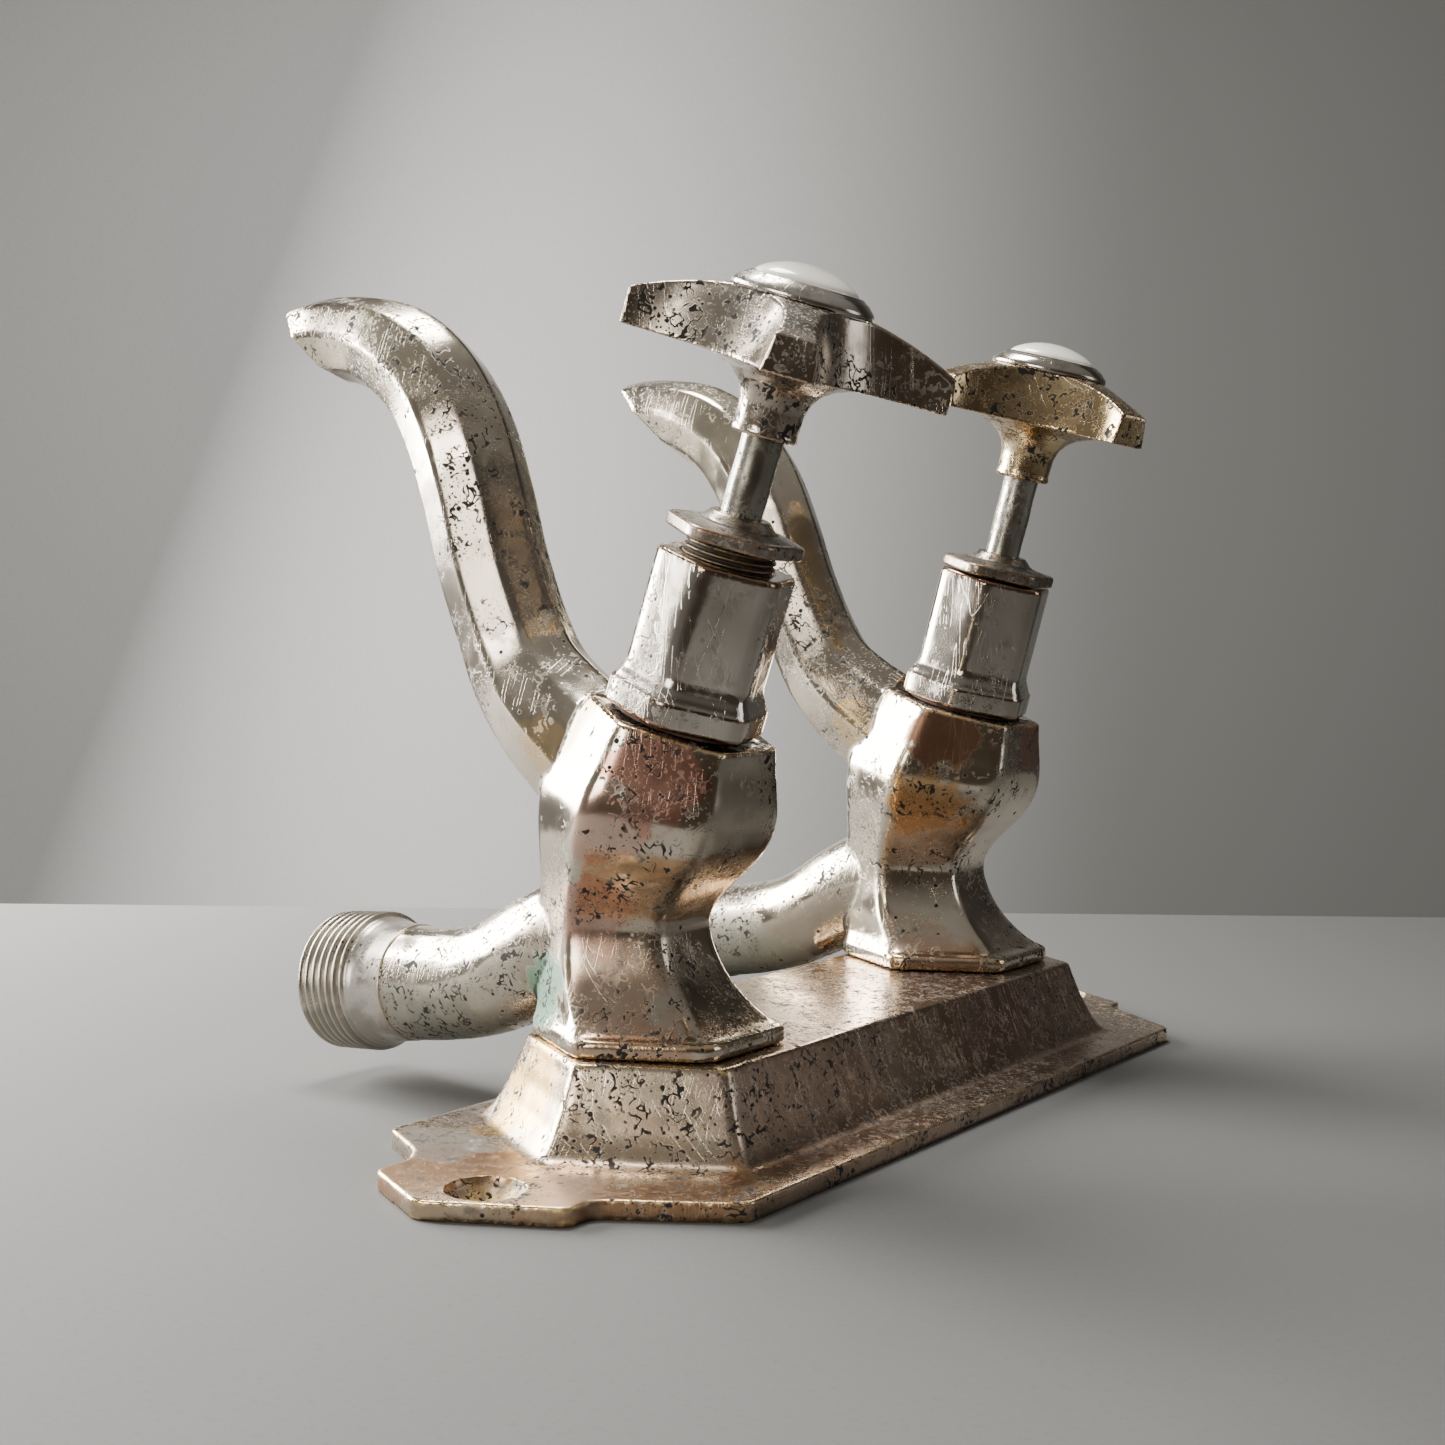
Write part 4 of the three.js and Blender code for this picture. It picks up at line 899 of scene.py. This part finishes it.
# A near-black thread for the sleeve under the gland nut: partly grime, partly painted shade of the gap
# under the nut.
grime_and_shade = plated("thread_grime_and_shade", 9.1, (0.22, 0.19, 0.15), (0.10, 0.085, 0.07), pits=0.8, wear=0.2,
               rough=0.45, tarnish=0.9)
for label, tap in TAPS.items():
    make_casting(label, tap)
    make_tail_end(label, tap)
    seed = 15.0 if label == "near" else 21.0
    bonnet_metal = plated("bonnet_" + label, seed, (0.60, 0.55, 0.485), (0.44, 0.395, 0.34),
                          pits=0.30, wear=0.85, rough=0.12, tarnish=0.25, scratches=1.0, worm=0.6,
                          brass=(0.30, 0.17, 0.10), edge=(0.5, 1.0), mottle=0.15)
    gland_metal = plated("gland_" + label, seed + 2, (0.46, 0.42, 0.36), (0.26, 0.23, 0.19),
                         pits=0.7, wear=0.5, rough=0.24, tarnish=0.7, worm=0.7,
                         brass=(0.30, 0.18, 0.11), edge=(0.5, 1.1))
    make_bonnet(label, tap, bonnet_metal)
    make_gland(label, tap, gland_metal, grime_and_shade)
    handle_metal = plated("handle_" + label, seed + 3, *HANDLE_TONES[label], pits=1.0, wear=0.30,
                          rough=0.16, tarnish=0.30, scratches=0.5, worm=1.0,
                          brass=(0.46, 0.30, 0.19), mottle=0.30)
    rod_metal = plated("rod_" + label, seed + 5, (0.56, 0.54, 0.48), (0.34, 0.33, 0.28),
                       pits=0.5, wear=0.2, rough=0.22, tarnish=0.7, worm=0.5, mottle=0.6)
    make_handle(label, tap, handle_metal)
    make_spindle(label, tap, rod_metal)
    make_index(label, tap, bezel, glaze)

# ---------------------------------------------------------------- inner pieces keep their CAD shapes

inner = {
    "jumper_valve": ("inner_brass", (0.62, 0.44, 0.20), 0.35, 1.0),
    "washer_nut": ("nut_brass", (0.60, 0.42, 0.20), 0.35, 1.0),
    "handle_screw": ("screw_brass", (0.60, 0.42, 0.20), 0.32, 1.0),
    "backnut": ("backnut_brass", (0.55, 0.38, 0.18), 0.45, 1.0),
    "backnut_washer": ("washer_brass", (0.50, 0.35, 0.18), 0.45, 1.0),
    # The bonnet washer is painted nearly black: fibre colour darkened into painted shade for the gap
    # between bonnet and body.
    "bonnet_washer": ("fibre_and_gap_shade", (0.07, 0.035, 0.022), 0.85, 0.0),
    "seat_washer": ("black_rubber", (0.02, 0.02, 0.02), 0.75, 0.0),
    "gland_packing": ("greased_cord", (0.24, 0.20, 0.13), 0.9, 0.0),
}
for k, (kind, (label, color, rough, metal)) in enumerate(inner.items()):
    material = plain(label, 3.0 * k, color, rough, metal)
    for tap in TAPS:
        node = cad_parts[kind + "_" + tap]
        node.data.materials.clear()
        node.data.materials.append(material)

# ---------------------------------------------------------------- studio


def camera():
    """The camera at the photo's angle; returns its right and forward directions."""
    azimuth, pitch, roll = CAMERA_AZIMUTH, CAMERA_PITCH, CAMERA_ROLL
    flat = math.cos(pitch)
    forward = Vector((-math.sin(azimuth) * flat, math.cos(azimuth) * flat, -math.sin(pitch)))
    side = Vector((math.cos(azimuth), math.sin(azimuth), 0))
    up = side.cross(forward)
    right = math.cos(roll) * side + math.sin(roll) * up
    top = -math.sin(roll) * side + math.cos(roll) * up
    data = bpy.data.cameras.new("camera")
    data.lens = CAMERA_LENS
    data.sensor_width = CAMERA_SENSOR
    data.clip_start, data.clip_end = 0.01, 20
    cam = bpy.data.objects.new("camera", data)
    turn = Matrix((right, top, -forward)).transposed().to_4x4()
    cam.matrix_world = Matrix.Translation(CAMERA_PLACE) @ turn
    bpy.context.scene.collection.objects.link(cam)
    bpy.context.scene.camera = cam
    return right, forward


def soft_light(name, place, size, power, color, aim=(0, 0, 0.07)):
    data = bpy.data.lights.new(name, "AREA")
    data.shape = "RECTANGLE"
    data.size, data.size_y = size
    data.energy = power
    data.color = color
    light = bpy.data.objects.new(name, data)
    light.location = place
    light.rotation_mode = "QUATERNION"
    light.rotation_quaternion = (Vector(aim) - Vector(place)).to_track_quat("-Z", "Y")
    bpy.context.scene.collection.objects.link(light)


def sheet(name, corners, material):
    mesh = bpy.data.meshes.new(name)
    mesh.from_pydata([tuple(c) for c in corners], [], [(0, 1, 2, 3)])
    mesh.materials.append(material)
    obj = bpy.data.objects.new(name, mesh)
    bpy.context.scene.collection.objects.link(obj)


def paper(name, level, lit_tone, shaded_tone):
    """Matt grey paper whose colour is painted lighter at one end of level and darker at the other: a
    painted light falloff.
    """
    s = Shade(name)
    across = s.add("ShaderNodeVectorMath", operation="DOT_PRODUCT")
    s.feed(across.inputs[0], s.coord)
    across.inputs[1].default_value = tuple(level)
    grain = s.noise(1.2, 3, 2.0)
    # Painted shade: the tone falls from light on the camera's left to dark on its right.
    tone = s.mix(s.ramp(across.outputs["Value"], -0.30, 0.32), (lit_tone,) * 3, (shaded_tone, shaded_tone, shaded_tone * 0.97))
    tone = s.mix(s.math("MULTIPLY", s.ramp(grain, 0.5, 0.8), 0.20), tone, (shaded_tone * 0.9,) * 3)
    material = s.output(tone, 0.9, 0.0, s.bump(grain, 0.05, 0.4))
    s.surface.inputs["Specular IOR Level"].default_value = 0.08
    return material


def backdrop(right, forward):
    """A grey table that ends behind the taps, and a grey paper well behind it, both with painted shade that
    darkens them to the right.
    """
    away = Vector((forward.x, forward.y, 0)).normalized()
    level = Vector((right.x, right.y, 0)).normalized()
    eye = Vector((CAMERA_PLACE.x, CAMERA_PLACE.y, 0))
    wide, skew = level * 2.2, away * 0.10
    near, far, wall = eye + away * 0.10, eye + away * 0.573, eye + away * 1.35
    sheet("table_top", (near - wide, near + wide, far + wide + skew, far - wide - skew),
          paper("table_paper_painted_falloff", level, 0.17, 0.060))
    low, high = Vector((0, 0, -0.9)), Vector((0, 0, 1.6))
    sheet("backdrop", (wall - wide + low, wall + wide + low, wall + wide + high, wall - wide + high),
          paper("wall_paper_painted_falloff", level, 0.56, 0.130))


def surroundings():
    """A room with its window side on the left, its dark side on the right and a light ceiling."""
    world = bpy.data.worlds.new("room")
    world.use_nodes = True
    tree = world.node_tree
    coord = tree.nodes.new("ShaderNodeTexCoord").outputs["Generated"]
    split = tree.nodes.new("ShaderNodeSeparateXYZ")
    tree.links.new(coord, split.inputs[0])
    colour = (0.22, 0.213, 0.20, 1)
    for axis, low, high, far_colour in (("X", -0.85, 0.15, (0.060, 0.048, 0.038, 1)),
                                        ("Z", 0.15, 0.85, (0.27, 0.263, 0.25, 1))):
        share = tree.nodes.new("ShaderNodeMapRange")
        share.interpolation_type = "SMOOTHSTEP"
        tree.links.new(split.outputs[axis], share.inputs["Value"])
        share.inputs["From Min"].default_value = low
        share.inputs["From Max"].default_value = high
        mix = tree.nodes.new("ShaderNodeMix")
        mix.data_type = "RGBA"
        tree.links.new(share.outputs["Result"], mix.inputs["Factor"])
        if isinstance(colour, tuple):
            mix.inputs[6].default_value = colour
        else:
            tree.links.new(colour, mix.inputs[6])
        mix.inputs[7].default_value = far_colour
        colour = mix.outputs[2]
    tree.links.new(colour, tree.nodes["Background"].inputs["Color"])
    bpy.context.scene.world = world


right, forward = camera()
backdrop(right, forward)
surroundings()
soft_light("key", (-0.75, -0.10, 0.33), (0.62, 0.52), 44, (1.0, 0.97, 0.92))
soft_light("top", (-0.25, 0.10, 0.95), (0.34, 0.34), 15.0, (1.0, 0.98, 0.95))
soft_light("front", (0.02, -1.05, 0.36), (0.50, 0.42), 7.5, (1.0, 0.95, 0.88))
soft_light("fill", (0.80, 0.50, 0.28), (0.30, 0.50), 0.9, (0.95, 0.97, 1.0))
